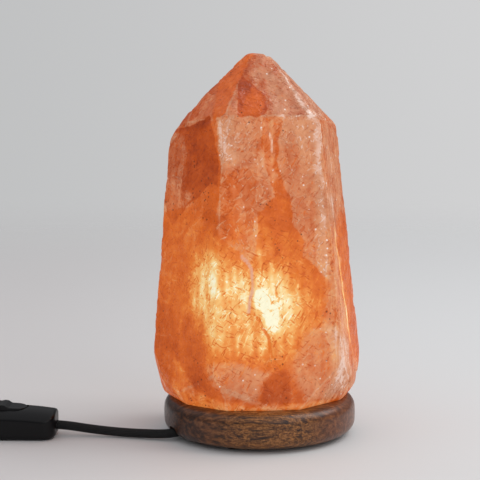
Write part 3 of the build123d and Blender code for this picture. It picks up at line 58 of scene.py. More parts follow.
# ---------------------------------------------------------------- shader helpers
class Net:
    """Adds nodes to one shader tree and joins them."""

    def __init__(self, tree):
        self.tree = tree

    def add(self, kind, **settings):
        node = self.tree.nodes.new(kind)
        for name, value in settings.items():
            setattr(node, name, value)
        return node

    def feed(self, socket, value):
        if isinstance(value, bpy.types.NodeSocket):
            self.tree.links.new(value, socket)
        else:
            socket.default_value = value

    def math(self, operation, a, b=0.0):
        node = self.add("ShaderNodeMath", operation=operation)
        for socket, value in zip(node.inputs, (a, b)):
            self.feed(socket, value)
        return node.outputs[0]

    def total(self, *values):
        result = values[0]
        for value in values[1:]:
            result = self.math("ADD", result, value)
        return result

    def product(self, *values):
        result = values[0]
        for value in values[1:]:
            result = self.math("MULTIPLY", result, value)
        return result

    def step(self, value, low, high, to_low=0.0, to_high=1.0):
        """A smooth change from to_low to to_high as value goes from low to high."""
        node = self.add("ShaderNodeMapRange", interpolation_type="SMOOTHSTEP")
        for k, item in enumerate((value, low, high, to_low, to_high)):
            self.feed(node.inputs[k], item)
        return node.outputs[0]

    def place(self, scale=(1, 1, 1), offset=(0, 0, 0)):
        """Object coordinates in millimetres, scaled and then moved."""
        node = self.add("ShaderNodeMapping", vector_type="POINT")
        self.feed(node.inputs["Vector"], self.add("ShaderNodeTexCoord").outputs["Object"])
        node.inputs["Location"].default_value = offset
        node.inputs["Scale"].default_value = [s / MM for s in scale]
        return node.outputs[0]

    def noise(self, vector, scale, detail=2.0, roughness=0.5, distortion=0.0, colour=False):
        node = self.add("ShaderNodeTexNoise")
        self.feed(node.inputs["Vector"], vector)
        for name, value in (
            ("Scale", scale), ("Detail", detail), ("Roughness", roughness), ("Distortion", distortion)
        ):
            node.inputs[name].default_value = value
        return node.outputs["Color" if colour else "Fac"]

    def cells(self, vector, scale, output="Distance"):
        """The distance to the nearest of scattered points, or that point's own colour."""
        node = self.add("ShaderNodeTexVoronoi", feature="F1")
        self.feed(node.inputs["Vector"], vector)
        node.inputs["Scale"].default_value = scale
        return node.outputs[output]

    def shifted(self, vector, scale, amount, detail=2.0):
        """The coordinates pushed about by noise, by up to about amount."""
        colour = self.noise(vector, scale, detail, colour=True)
        centred = self.add("ShaderNodeVectorMath", operation="SUBTRACT")
        self.feed(centred.inputs[0], colour)
        centred.inputs[1].default_value = (0.5, 0.5, 0.5)
        grown = self.add("ShaderNodeVectorMath", operation="SCALE")
        self.feed(grown.inputs[0], centred.outputs[0])
        grown.inputs["Scale"].default_value = 2 * amount
        moved = self.add("ShaderNodeVectorMath", operation="ADD")
        self.feed(moved.inputs[0], vector)
        self.feed(moved.inputs[1], grown.outputs[0])
        return moved.outputs[0]

    def ramp(self, value, stops):
        """A colour ramp from (place, (r, g, b)) stops."""
        node = self.add("ShaderNodeValToRGB")
        self.feed(node.inputs[0], value)
        marks = node.color_ramp.elements
        marks.remove(marks[1])
        for number, (place, colour) in enumerate(stops):
            mark = marks.new(place) if number else marks[0]
            mark.position = place
            mark.color = (*colour, 1.0)
        return node.outputs[0]

    def red(self, colour):
        """The first of a colour's three values."""
        node = self.add("ShaderNodeSeparateColor")
        self.feed(node.inputs[0], colour)
        return node.outputs[0]

    def mix(self, factor, a, b, blend="MIX"):
        """Two colours mixed: a at factor 0 and b at factor 1."""
        node = self.add("ShaderNodeMix", data_type="RGBA", blend_type=blend)
        self.feed(node.inputs[0], factor)
        for socket, value in ((node.inputs[6], a), (node.inputs[7], b)):
            self.feed(socket, (*value, 1.0) if isinstance(value, tuple) else value)
        return node.outputs[2]

    def value_of(self, name):
        """A vertex attribute as a number."""
        return self.add("ShaderNodeAttribute", attribute_name=name).outputs["Fac"]

    def bump(self, height, strength, distance):
        node = self.add("ShaderNodeBump")
        node.inputs["Strength"].default_value = strength
        node.inputs["Distance"].default_value = distance
        self.feed(node.inputs["Height"], height)
        return node.outputs[0]


def material(name, colour=(0.5, 0.5, 0.5), roughness=0.5, metallic=0.0, **sockets):
    """A Principled material. Sockets are named with underscores for spaces."""
    made = bpy.data.materials.new(name)
    made.use_nodes = True
    shader = made.node_tree.nodes["Principled BSDF"]
    shader.inputs["Base Color"].default_value = (*colour, 1.0)
    shader.inputs["Roughness"].default_value = roughness
    shader.inputs["Metallic"].default_value = metallic
    for socket, value in sockets.items():
        shader.inputs[socket.replace("_", " ")].default_value = value
    return made, Net(made.node_tree), shader


def grouped(name, build, outputs):
    """A node group that gives colours and values. build(net) returns them by name."""
    tree = bpy.data.node_groups.new(name, "ShaderNodeTree")
    for output, kind in outputs:
        tree.interface.new_socket(output, in_out="OUTPUT", socket_type=kind)
    net = Net(tree)
    end = net.add("NodeGroupOutput")
    for output, socket in build(net).items():
        net.feed(end.inputs[output], socket)
    return tree


def use_group(net, tree):
    """Places a node group in a material and returns its outputs."""
    return net.add("ShaderNodeGroup", node_tree=tree).outputs


def dress(names, made):
    """Gives CAD nodes a material."""
    for name in names:
        for slot in nodes[name].material_slots:
            slot.link = "OBJECT"
            slot.material = made


def new_piece(name, mesh, made, body, replaced):
    """An object that takes the place of CAD nodes. Its mesh gets the material unless it has its own."""
    obj = bpy.data.objects.new(name, mesh)
    scene.collection.objects.link(obj)
    if made:
        obj.data.materials.append(made)
    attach(obj, body)
    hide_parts(*replaced)
    return obj


# ---------------------------------------------------------------- cord
CORD_DIAMETER = 0.006
COIL_CENTRE = (-262.0, 30.0)
COIL_OUTER_RADIUS = 46.0
COIL_PITCH = 6.6
COIL_LAYER_RISE = 6.6
COIL_LOW_Z = 3.9
COIL_POINTS_A_TURN = 16
TURNS_IN = 3.0
TURNS_OUT = 2.625


def coil_point(turns):
    """The middle of the coil's cord: three turns inwards, half a turn up, then outwards on top."""
    deepest = TURNS_IN + 0.25
    inward = COIL_OUTER_RADIUS - COIL_PITCH * min(turns, deepest)
    radius = inward + COIL_PITCH * max(0.0, turns - deepest)
    share = min(1.0, max(0.0, 2 * (turns - TURNS_IN)))
    level = COIL_LAYER_RISE * (1 - math.cos(math.pi * share)) / 2
    angle = -math.pi / 2 - 2 * math.pi * turns
    x = COIL_CENTRE[0] + radius * math.cos(angle)
    y = COIL_CENTRE[1] + radius * math.sin(angle)
    return (x, y, COIL_LOW_Z + level)


TO_SWITCH_ROUTE = [
    (-48.94, -22.82, 6.0),
    (-51.66, -24.09, 6.0),
    (-60.27, -28.1, 4.2),
    (-90.0, -19.6, 3.1),
    (-113.0, -15.6, 4.6),
    (-133.6, -15.12, 7.8),
    (-143.6, -14.86, 7.8),
]
FROM_SWITCH_ROUTE = [
    (-201.6, -13.34, 7.8),
    (-211.6, -13.08, 7.8),
    (-224.0, -13.4, 6.2),
    (-237.0, -15.4, 4.2),
    (-246.0, -16.4, 3.9),
]
TO_PLUG_ROUTE = [
    (-297.1, 3.4, 10.5),
    (-305.8, 11.6, 10.5),
    (-318.15, 29.5, 7.0),
    (-326.75, 49.7, 7.0),
]
coil_turns = TURNS_IN + 0.5 + TURNS_OUT
coil_count = int(coil_turns * COIL_POINTS_A_TURN)
COIL_ROUTE = [coil_point(coil_turns * k / coil_count) for k in range(coil_count + 1)]


def smooth_route(name, points):
    """The smooth line through a route's corners, as (points in metres, length)."""
    curve = bpy.data.curves.new(name, "CURVE")
    curve.dimensions = "3D"
    spline = curve.splines.new("NURBS")
    spline.points.add(len(points) - 1)
    for point, place in zip(spline.points, points):
        point.co = (*[MM * c for c in place], 1.0)
    spline.order_u = 3
    spline.use_endpoint_u = True
    spline.resolution_u = 8
    obj = bpy.data.objects.new(name, curve)
    line = bpy.data.meshes.new_from_object(obj)
    places = [v.co.copy() for v in line.vertices]
    bpy.data.objects.remove(obj)
    length = sum((a - b).length for a, b in zip(places, places[1:]))
    return places, length


def spaced(places, gap):
    """The line's points again, evenly spaced by about gap."""
    stops = [0.0]
    for a, b in zip(places, places[1:]):
        stops.append(stops[-1] + (a - b).length)
    count = max(2, round(stops[-1] / gap))
    wanted = np.linspace(0, stops[-1], count + 1)
    axes = [np.interp(wanted, stops, [p[k] for p in places]) for k in range(3)]
    return [Vector(p) for p in zip(*axes)], stops[-1] / count


TUBE_SIDES = 16
NEAR_CORD_RING_GAP = 0.0012
FAR_CORD_RING_GAP = 0.0018


def tube_mesh(name, places, radius, gap):
    """A round tube along a line. Its lay attribute holds the way along and round it, in turns."""
    line, step = spaced(places, gap)
    made = bmesh.new()
    up = Vector((0, 0, 1))
    rings = []
    for k, spot in enumerate(line):
        ahead = line[min(k + 1, len(line) - 1)] - line[max(k - 1, 0)]
        across = ahead.cross(up).normalized()
        over = across.cross(ahead).normalized()
        up = over
        ring = []
        for side in range(TUBE_SIDES):
            turn = 2 * math.pi * side / TUBE_SIDES
            outwards = math.cos(turn) * across + math.sin(turn) * over
            ring.append(made.verts.new(spot + radius * outwards))
        rings.append(ring)
    lay = made.loops.layers.float_vector.new("lay")
    for k, (first, second) in enumerate(zip(rings, rings[1:])):
        for side in range(TUBE_SIDES):
            after = (side + 1) % TUBE_SIDES
            face = made.faces.new((first[side], first[after], second[after], second[side]))
            face.smooth = True
            along = (k * step, (k + 1) * step)
            round_it = (side / TUBE_SIDES, (side + 1) / TUBE_SIDES)
            corners = ((0, 0), (0, 1), (1, 1), (1, 0))
            for loop, (i, j) in zip(face.loops, corners):
                loop[lay] = (along[i] / MM, round_it[j], 0.0)
    for ring in (rings[0][::-1], rings[-1]):
        made.faces.new(ring)
    mesh = bpy.data.meshes.new(name)
    made.to_mesh(mesh)
    made.free()
    return mesh


BRAID_STRANDS = 8  # each way round
BRAID_PITCH = 9.0  # along the cord, for one turn
BRAID_LIFT = 64.0  # a whole number of strands that keeps the second count above zero
BRAID_CREST = 0.55  # how high a strand stays between its crossings


def braid(net):
    """The woven sleeve: two sets of strands, over and under each other."""
    lay = net.add("ShaderNodeAttribute", attribute_name="lay").outputs["Vector"]
    split = net.add("ShaderNodeSeparateXYZ")
    net.feed(split.inputs[0], lay)
    along = net.product(split.outputs[0], BRAID_STRANDS / BRAID_PITCH)
    round_it = net.product(split.outputs[1], float(BRAID_STRANDS))
    counts = (net.total(along, round_it), net.total(net.math("SUBTRACT", along, round_it), BRAID_LIFT))
    wave_one, wave_two = [
        net.math("SINE", net.product(net.math("FRACT", count), math.pi)) for count in counts
    ]
    row, column = [net.math("FLOOR", count) for count in counts]
    over = net.math("MODULO", net.total(row, column), 2.0)
    first, second = [
        net.product(wave, net.total(BRAID_CREST, net.product(1 - BRAID_CREST, other)))
        for wave, other in ((wave_one, wave_two), (wave_two, wave_one))
    ]
    height = net.total(net.product(over, first), net.product(net.math("SUBTRACT", 1.0, over), second))
    fuzz = net.noise(net.place((0.5, 0.5, 0.5)), 4.0, 3.0)
    # The colour follows the strands' height: painted shade where they dip under, a painted highlight on
    # their crests, and noise for the yarn's own tone.
    shade = net.total(net.product(height, 0.8), net.product(fuzz, 0.4))
    return {"Height": height, "Shade": shade}


braid_group = grouped("braid", braid, [("Height", "NodeSocketFloat"), ("Shade", "NodeSocketFloat")])
cord_material, cord_net, cord_shader = material("black_braid", roughness=0.5, Specular_IOR_Level=0.16)
braid_out = use_group(cord_net, braid_group)
yarn = [(0.2, (0.001, 0.001, 0.001)), (0.75, (0.009, 0.009, 0.0095)), (1.0, (0.07, 0.07, 0.07))]
cord_net.feed(cord_shader.inputs["Base Color"], cord_net.ramp(braid_out["Shade"], yarn))
cord_net.feed(cord_shader.inputs["Normal"], cord_net.bump(braid_out["Height"], 0.9, 0.0005))

near_line, near_length = smooth_route("near", TO_SWITCH_ROUTE)
near_tube = tube_mesh("cord_near", near_line, CORD_DIAMETER / 2, NEAR_CORD_RING_GAP)
near_cord = new_piece("cord_near", near_tube, cord_material, "lamp", ["cord_lamp_to_switch"])
far_line, far_length = smooth_route("far", FROM_SWITCH_ROUTE + COIL_ROUTE + TO_PLUG_ROUTE)
far_tube = tube_mesh("cord_far", far_line, CORD_DIAMETER / 2, FAR_CORD_RING_GAP)
far_cord = new_piece(
    "cord_far", far_tube, cord_material, "lamp",
    ["cord_switch_to_coil", "cord_coil", "cord_coil_to_plug"],
)

# ---------------------------------------------------------------- crystal's shape
SEAT = 26.0
TIP = 256.0
# A facet is (direction, lean, reach): the way it faces in plan from the front towards the right, how far it
# tips up, and how far from the axis it passes at the seat, or at the tip for the upper ones.
BODY_FACETS = [
    (9, 3.2, 54.0), (-18, 7.5, 76.0), (-46, 4.2, 64.5), (76, 6.0, 66.5), (127, 6.0, 68.5),
    (187, 5.0, 61.5), (-109, 4.0, 65.5),
]
TIP_FACETS = [
    (9, 41.5, 8.5), (-52, 43.0, 11.0), (82, 43.0, 5.5), (130, 43.0, 2.5), (187, 42.0, 6.5),
    (-109, 42.0, 7.0), (-75, 31.0, 26.0),
]
FOOT_FACETS = [
    (-80, -16.0, 64.0), (-62, -30.0, 60.5), (-66, -50.0, 58.5), (80, -12.0, 62.5), (75, -38.0, 58.0),
    (-34, -20.0, 57.0), (2, -12.0, 53.5), (45, -27.0, 54.0), (170, -16.0, 49.5), (125, -18.0, 56.0),
    (-125, -20.0, 55.0),
]


def facet_planes():
    """(normal, distance) of every facet, in millimetres."""
    made = []
    for facets, level in ((BODY_FACETS, SEAT), (FOOT_FACETS, SEAT), (TIP_FACETS, TIP)):
        for direction, lean, reach in facets:
            turn, tip_up = math.radians(direction), math.radians(lean)
            across = np.array([math.sin(turn), -math.cos(turn), 0.0])
            normal = across * math.cos(tip_up) + np.array([0, 0, math.sin(tip_up)])
            made.append((normal, float(normal @ (across * reach + np.array([0, 0, level])))))
    made.append((np.array([0.0, 0.0, 1.0]), TIP))
    return made


PLANES = facet_planes()
EDGE_ROUNDING = 0.9
VOXEL = 1.6
BLANK_HALF = 0.15  # of the cube that the facets are cut from, in metres
CHIPPED_REACH = 5.0  # how far from an edge the chips reach
SEAT_CLEARANCE = 0.4  # vertices up to this far above the seat stay on it
SEAT_FADE = 3.0  # the uneven surface grows in over this height above the seat


def fbm(points, scale, octaves=3, seed=0.0):
    """Layered noise between about -1 and 1 at each point, in millimetres."""
    shift = Vector((seed, seed * 1.7, -seed))
    return np.array([noise.fractal(Vector(p) / scale + shift, 1.0, 2.0, octaves) for p in points])


def rounded_distance(points):
    """How far points stand out of the facets, the way out, and how far off the nearest edge is."""
    gaps = np.stack([points @ n - d for n, d in PLANES], axis=1)
    top = gaps.max(axis=1, keepdims=True)
    weight = np.exp((gaps - top) / EDGE_ROUNDING)
    total = weight.sum(axis=1, keepdims=True)
    height = (top + EDGE_ROUNDING * np.log(total))[:, 0]
    way = (weight / total) @ np.array([n for n, _ in PLANES])
    ordered = np.sort(gaps, axis=1)
    return height, way, ordered[:, -1] - ordered[:, -2]


def crystal_mesh():
    """A cube cut along every facet, then remeshed into small even faces."""
    made = bmesh.new()
    bmesh.ops.create_cube(made, size=2 * BLANK_HALF)
    bmesh.ops.translate(made, verts=made.verts, vec=(0, 0, BLANK_HALF + SEAT * MM))
    for normal, distance in PLANES:
        cut = bmesh.ops.bisect_plane(
            made, geom=made.verts[:] + made.edges[:] + made.faces[:], clear_outer=True,
            plane_co=Vector(normal) * distance * MM, plane_no=Vector(normal),
        )
        rim = [e for e in cut["geom_cut"] if isinstance(e, bmesh.types.BMEdge)]
        bmesh.ops.contextual_create(made, geom=rim)
    bmesh.ops.recalc_face_normals(made, faces=made.faces)
    rough = bpy.data.meshes.new("crystal_rough")
    made.to_mesh(rough)
    made.free()
    holder = bpy.data.objects.new("crystal_rough", rough)
    scene.collection.objects.link(holder)
    remesh = holder.modifiers.new("voxels", "REMESH")
    remesh.mode = "VOXEL"
    remesh.voxel_size = VOXEL * MM
    depsgraph = bpy.context.evaluated_depsgraph_get()
    mesh = bpy.data.meshes.new_from_object(holder.evaluated_get(depsgraph))
    bpy.data.objects.remove(holder)
    return mesh


def hew(mesh):
    """Sets the vertices on the facets again, with rounded, chipped edges and an uneven surface."""
    count = len(mesh.vertices)
    spots = np.zeros(count * 3)
    mesh.vertices.foreach_get("co", spots)
    spots = spots.reshape(-1, 3) / MM
    free = spots[:, 2] > SEAT + SEAT_CLEARANCE
    for _ in range(3):
        height, way, _ = rounded_distance(spots)
        spots[free] -= (way * (height / (way * way).sum(axis=1))[:, None])[free]
    height, way, edge = rounded_distance(spots)
    near_edge = np.clip(1 - edge / CHIPPED_REACH, 0, 1)
    swell = 0.55 * fbm(spots, 34.0, 2, 3.0) + 0.28 * fbm(spots, 11.0, 2, 8.0)
    swell = swell + 0.10 * fbm(spots, 4.0, 2, 1.0)
    chips = np.clip(fbm(spots, 9.0, 3, 21.0) - 0.02, 0, 1) * near_edge * 2.6
    nicks = np.clip(fbm(spots, 3.5, 2, 33.0) - 0.1, 0, 1) * near_edge * 0.9
    depth = swell - chips - nicks
    lift = way / np.linalg.norm(way, axis=1)[:, None]
    fade = np.clip((spots[:, 2] - SEAT) / SEAT_FADE, 0, 1)
    spots += lift * (depth * fade)[:, None]
    spots[:, 2] = np.maximum(spots[:, 2], SEAT)
    mesh.vertices.foreach_set("co", (spots * MM).ravel())
    mesh.update()
    return spots, edge


# ---------------------------------------------------------------- drawn features of the crystal
# Outlines and lines are (direction, height) points: degrees round the axis from the front towards the
# right, which are about a millimetre each on the surface, and millimetres above the floor. The back has the
# same kinds of marks, mirrored at the direction MIRROR and then bent and moved.
MIRROR = 98.0
WOBBLE = 1.6  # how far noise pushes every outline,
RIGHT_WOBBLE = 5.5  # how much further on the right,
RIGHT_START, RIGHT_FADE = 50.0, 22.0  # where that starts and over how many degrees it grows in,
BACK_WOBBLE = 7.0  # and how much further on the back
BACK_TURN = 16.0  # how far the back's marks are moved round,
BACK_DROP = 20.0  # and how far down
BACK_FADE = 32.0  # over how many degrees the back's changes grow in
FAR_OFF = 60.0  # distances are stored up to this
GROUND_HEAT = 0.34
DARK_CAP = [
    (-90, 200), (-78, 206), (-65, 208), (-42, 216), (-32, 197), (-29, 171), (-35, 174), (-41, 169),
    (-48, 163), (-56, 158), (-64, 150), (-71, 143), (-75, 149), (-77, 156), (-90, 160),
]
VEIL_RIGHT = [
    (19, 216), (38, 217), (46, 214), (46, 162), (46, 111), (39, 118), (31, 126), (32, 136), (25, 148),
    (24, 160), (19, 172), (12, 188),
]
VEIL_LEFT = [
    (-34, 214), (-21, 216), (1, 216), (1, 195), (6, 179), (11, 166), (1, 155), (-2, 156), (-2, 142),
    (-3, 131), (-7, 121), (-15, 128), (-22, 134), (-27, 140), (-30, 153), (-27, 170), (-31, 195),
]
DARK_BAND = [
    (-2, 156), (3, 152), (11, 163), (19, 169), (24, 160), (25, 148), (32, 136), (31, 126), (39, 118),
    (47, 110), (47, 97), (44, 90), (37, 92), (31, 95), (25, 104), (18, 116), (13, 126), (7, 131), (1, 136),
    (-1, 147),
]
TIP_TRIANGLE = [(-30, 243), (-12, 236), (5, 230), (5, 218), (-2, 216), (-17, 216), (-23, 229)]
VEIN = [(-13, 126), (-10, 123), (-7, 118), (-6, 105), (-7, 97), (-8, 90)]
CRACK = [(-4, 90), (1, 80), (5, 75), (8, 63), (15, 53)]
GROOVED_LEFT = [(-62, 92), (-34, 92), (-30, 30), (-62, 30)]
HOT_STREAK = [(58, 140), (65, 118), (67, 101), (73, 83), (75, 66)]
COLUMN_SLIVER = [(8, 205), (10, 200), (8, 194)]
# where dark specks gather: ((direction, height), reach)
SPECK_PLACES = [((-47, 164), 17), ((3, 160), 9), ((22, 133), 14), ((-38, 150), 10)]

# Each patch is (outline, softness of its edge, how much hotter, how much paler).
PATCHES = [
    (
        [(-80, 165), (-60, 160), (-30, 150), (0, 150), (40, 140), (60, 150), (90, 140), (90, 45),
         (-80, 45)],
        26, 0.14, 0.0,
    ),
    (
        [(-44, 118), (-34, 130), (-12, 126), (14, 122), (34, 104), (38, 84), (24, 66), (-6, 60), (-34, 62),
         (-48, 84)],
        30, 0.24, 0.0,
    ),
    (
        [(-46, 119), (-35, 127), (-26, 125), (-24, 113), (-24, 95), (-25, 82), (-27, 73), (-34, 73),
         (-42, 85), (-49, 102)],
        18, 0.17, 0.0,
    ),
    (
        [(-5, 112), (3, 117), (12, 116), (18, 108), (26, 99), (28, 90), (22, 81), (13, 76), (6, 75),
         (1, 82), (-5, 93), (-6, 104)],
        15, 0.21, 0.0,
    ),
    ([(-22, 111), (-15, 114), (-10, 113), (-10, 96), (-10, 86), (-16, 82), (-21, 88)], 8, 0.12, 0.0),
    ([(-38, 113), (-33, 116), (-28, 114), (-25, 106), (-25, 101), (-30, 102), (-35, 106)], 3.5, 0.08, 0.0),
    (
        [(-4, 101), (-3, 104), (0, 107), (4, 103), (3, 100), (6, 101), (12, 100), (13, 98), (11, 81),
         (9, 78), (6, 79), (4, 82), (3, 85), (2, 91), (-1, 93), (-4, 97)],
        2.5, 0.2, 0.0,
    ),
    ([(-14, 104), (-10, 109), (-8, 104), (-8, 100), (-9, 93), (-11, 95), (-14, 100)], 2.5, 0.14, 0.0),
    (
        [(-34, 74), (-21, 80), (-9, 82), (1, 76), (7, 72), (21, 76), (33, 75), (27, 64), (11, 61), (-8, 58),
         (-23, 57), (-34, 65)],
        14, 0.02, 0.0,
    ),
    ([(8, 51), (17, 52), (22, 48), (20, 42), (21, 31), (9, 27), (0, 31), (1, 42), (4, 46)], 3, -0.16, -0.1),
    (
        [(-54, 88), (-44, 89), (-35, 81), (-34, 63), (-34, 42), (-47, 34), (-53, 37), (-52, 60), (-55, 74)],
        8, -0.16, 0.0,
    ),
    ([(-78, 92), (-66, 88), (-60, 72), (-56, 60), (-56, 41), (-65, 38), (-80, 45)], 7, -0.14, 0.0),
    ([(-42, 154), (-33, 157), (-22, 152), (-20, 142), (-23, 134), (-28, 138), (-39, 146)], 4, -0.12, 0.0),
    ([(-33, 58), (-20, 60), (-3, 54), (7, 51), (0, 42), (-2, 33), (-20, 33), (-32, 42)], 5, 0.0, 0.78),
    (
        [(31, 76), (44, 82), (64, 68), (69, 48), (64, 34), (48, 30), (31, 32), (24, 44), (24, 63)],
        8, 0.0, 0.72,
    ),
    (
        [(-85, 204), (-65, 204), (-61, 192), (-60, 170), (-52, 164), (-56, 157), (-67, 152), (-85, 152)],
        5, 0.04, 1.25,
    ),
    ([(-33, 211), (-20, 216), (-18, 199), (-19, 185), (-26, 187), (-31, 199)], 3, 0.0, 0.35),
    (
        [(1, 216), (10, 215), (11, 206), (12, 194), (9, 183), (17, 176), (8, 172), (0, 185), (2, 199),
         (1, 208)],
        3, 0.08, 0.6,
    ),
    ([(-9, 234), (4, 228), (4, 222), (-1, 217), (-16, 217), (-15, 226)], 2.5, 0.16, -0.3),
    ([(-28, 264), (42, 264), (42, 216), (-28, 216)], 2.5, -0.12, 0.55),
    ([(38, 264), (100, 264), (100, 215), (38, 215)], 5, -0.1, 0.98),
    ([(-14, 264), (40, 264), (26, 240), (-12, 238)], 4, -0.02, 0.25),
    ([(8, 243), (42, 243), (42, 217), (12, 217)], 6, -0.02, 0.36),
    ([(-84, 245), (-62, 236), (-38, 216), (-43, 208), (-58, 207), (-84, 204)], 4, -0.13, 0.3),
    ([(48, 214), (100, 214), (100, 150), (48, 150)], 22, -0.02, 0.9),
    ([(48, 170), (64, 160), (70, 60), (100, 40), (100, 26), (48, 30)], 12, -0.04, 0.66),
    ([(41, 214), (47, 214), (48, 110), (47, 84), (60, 40), (54, 40), (43, 80), (41, 110)], 3, 0.0, 0.35),
    ([(-62, 60), (-40, 36), (-10, 30), (30, 30), (60, 30), (60, 24), (-62, 24)], 3, 0.2, 0.42),
    ([(-62, 130), (-20, 130), (-20, 26), (-62, 26)], 14, 0.0, -0.28),
    ([(-24, 182), (-5, 186), (-4, 205), (8, 205), (8, 150), (-5, 128), (-25, 135)], 9, 0.02, -0.2),
    ([(-34, 180), (-18, 180), (-12, 140), (-30, 130), (-40, 150)], 6, 0.03, -0.34),
    ([(44, 214), (60, 214), (60, 60), (44, 90)], 8, 0.0, 0.16),
    ([(-8, 148), (6, 145), (8, 130), (0, 122), (-8, 128)], 5, 0.09, 0.22),
    ([(9, 216), (44, 216), (44, 199), (12, 196)], 4, 0.01, 0.3),
    ([(8, 188), (23, 188), (22, 148), (9, 152)], 6, 0.08, 0.1),
    ([(-46, 136), (-34, 136), (-32, 112), (-44, 108)], 6, 0.0, -0.3),
]


def wrapped(direction):
    """Degrees between -180 and 180."""
    return (direction + 180) % 360 - 180


def to_line(angles, heights, points, closed):
    """The distance to a line of points, and for a closed one whether each place is inside."""
    nearest = np.full(len(angles), 1e9)
    inside = np.zeros(len(angles), dtype=bool)
    pairs = list(zip(points, points[1:] + points[:1])) if closed else list(zip(points, points[1:]))
    for (ax, az), (bx, bz) in pairs:
        dx, dz = bx - ax, bz - az
        share = np.clip(((angles - ax) * dx + (heights - az) * dz) / (dx * dx + dz * dz), 0, 1)
        nearest = np.minimum(nearest, np.hypot(angles - ax - share * dx, heights - az - share * dz))
        if closed and az != bz:
            crosses = ((az > heights) != (bz > heights)) & (angles < ax + (heights - az) * dx / dz)
            inside ^= crosses
    return nearest, inside


def depth_in(angles, heights, outline):
    """Distance into an outlined region: above zero inside and below zero outside."""
    distance, inside = to_line(angles, heights, outline, True)
    return np.where(inside, distance, -distance)


def smooth(values):
    """Values held between 0 and 1, with soft ends."""
    values = np.clip(values, 0, 1)
    return values * values * (3 - 2 * values)


def store(mesh, name, values):
    """Keeps one number a vertex under a name that the salt's material reads."""
    kept = np.clip(values, -FAR_OFF, FAR_OFF).astype(np.float32)
    mesh.attributes.new(name, "FLOAT", "POINT").data.foreach_set("value", kept)


def paint(mesh, spots, edge):
    """Lays the drawn marks onto the crystal's vertices."""
    angles = np.degrees(np.arctan2(spots[:, 0], -spots[:, 1]))
    back = (angles > MIRROR) | (angles < wrapped(MIRROR + 180))
    from_seam = np.abs(wrapped(angles - MIRROR))
    into_back = np.where(back, smooth(np.minimum(from_seam, 180 - from_seam) / BACK_FADE), 0)
    angles = np.where(back, wrapped(2 * MIRROR - angles), angles)
    into_right = smooth((np.abs(angles) - RIGHT_START) / RIGHT_FADE) * (angles > 0)
    loose = WOBBLE + RIGHT_WOBBLE * into_right + BACK_WOBBLE * into_back
    aside, up = fbm(spots, 13.0, 3, 5.0), fbm(spots, 13.0, 3, 15.0)
    hot_line = to_line(angles + WOBBLE * aside, spots[:, 2] + WOBBLE * up, HOT_STREAK, False)[0]
    store(mesh, "streak", hot_line + FAR_OFF * back)
    turned = BACK_TURN * into_back * (0.7 + fbm(spots, 60.0, 2, 41.0))
    dropped = BACK_DROP * into_back * (0.5 + fbm(spots, 55.0, 2, 47.0))
    angles = angles + loose * aside + turned
    heights = spots[:, 2] + loose * up - dropped
    heat = GROUND_HEAT + np.zeros(len(angles))
    pale = np.zeros(len(angles))
    for outline, softness, hotter, paler in PATCHES:
        share = smooth(depth_in(angles, heights, outline) / softness + 0.5)
        heat += hotter * share
        pale += paler * share
    store(mesh, "warmth", heat)
    store(mesh, "pale", pale)
    store(mesh, "edge", edge)
    store(mesh, "veil", np.maximum(*[depth_in(angles, heights, veil) for veil in (VEIL_RIGHT, VEIL_LEFT)]))
    for name, outline in (("cap", DARK_CAP), ("band", DARK_BAND), ("triangle", TIP_TRIANGLE)):
        store(mesh, name, depth_in(angles, heights, outline))
    for name, line in (("vein", VEIN), ("crack", CRACK), ("sliver", COLUMN_SLIVER)):
        store(mesh, name, to_line(angles, heights, line, False)[0])
    gathered = [
        smooth(1.4 - 1.4 * np.hypot(angles - a, heights - z) / reach) for (a, z), reach in SPECK_PLACES
    ]
    store(mesh, "specked", np.max(gathered, axis=0))
    left_low = smooth(depth_in(angles, heights, GROOVED_LEFT) / 6 + 0.5)
    store(mesh, "side", np.maximum(smooth((np.abs(angles - 71) - 27) / -5), 0.45 * left_low))


crystal = crystal_mesh()
paint(crystal, *hew(crystal))
for face in crystal.polygons:
    face.use_smooth = True


# ---------------------------------------------------------------- crystal's material
STROKE_WIDTH = 1.2


def strokes(net, lean, seed, long=9.0, depth=0.0):
    """Thin strokes from 0 to 1, lean degrees off upright and depth degrees out of the front's plane."""
    base = net.shifted(net.place(offset=(seed, -seed, seed * 0.5)), 0.05, 3.0)
    laid = net.add("ShaderNodeMapping", vector_type="TEXTURE")
    net.feed(laid.inputs["Vector"], base)
    laid.inputs["Rotation"].default_value = (math.radians(depth), math.radians(lean), 0)
    laid.inputs["Scale"].default_value = (STROKE_WIDTH, STROKE_WIDTH, long)
    return net.step(net.noise(laid.outputs[0], 1.0, 1.0, 0.4), 0.66, 0.70)


def threads(net, seed, scale, width, share):
    """Thin curved lines, broken up so that about the given share of them shows."""
    there = net.place(offset=(seed, 2 * seed, -seed))
    line = net.math("ABSOLUTE", net.math("SUBTRACT", net.noise(there, scale, 1.5, 0.5, 0.5), 0.5))
    keep = net.step(net.noise(net.place(offset=(-seed, seed, 40)), 0.09, 2.0), share + 0.04, share - 0.04)
    return net.product(net.step(line, width, width * 0.35), keep)


def facets(net, scale, push, bend):
    """Light and dark sides of crumpled facets, from about -1 to 1, and their height."""
    here, there = [
        net.cells(net.shifted(net.place(offset=offset), scale * 0.7, bend, 1.0), scale)
        for offset in ((0, 0, 0), push)
    ]
    reach = scale * math.sqrt(sum(c * c for c in push))
    return net.product(net.math("SUBTRACT", there, here), 1 / reach), here


def centred(net, value, amount):
    """A value from 0 to 1 as a change to either side of zero."""
    return net.product(net.math("SUBTRACT", value, 0.5), amount)


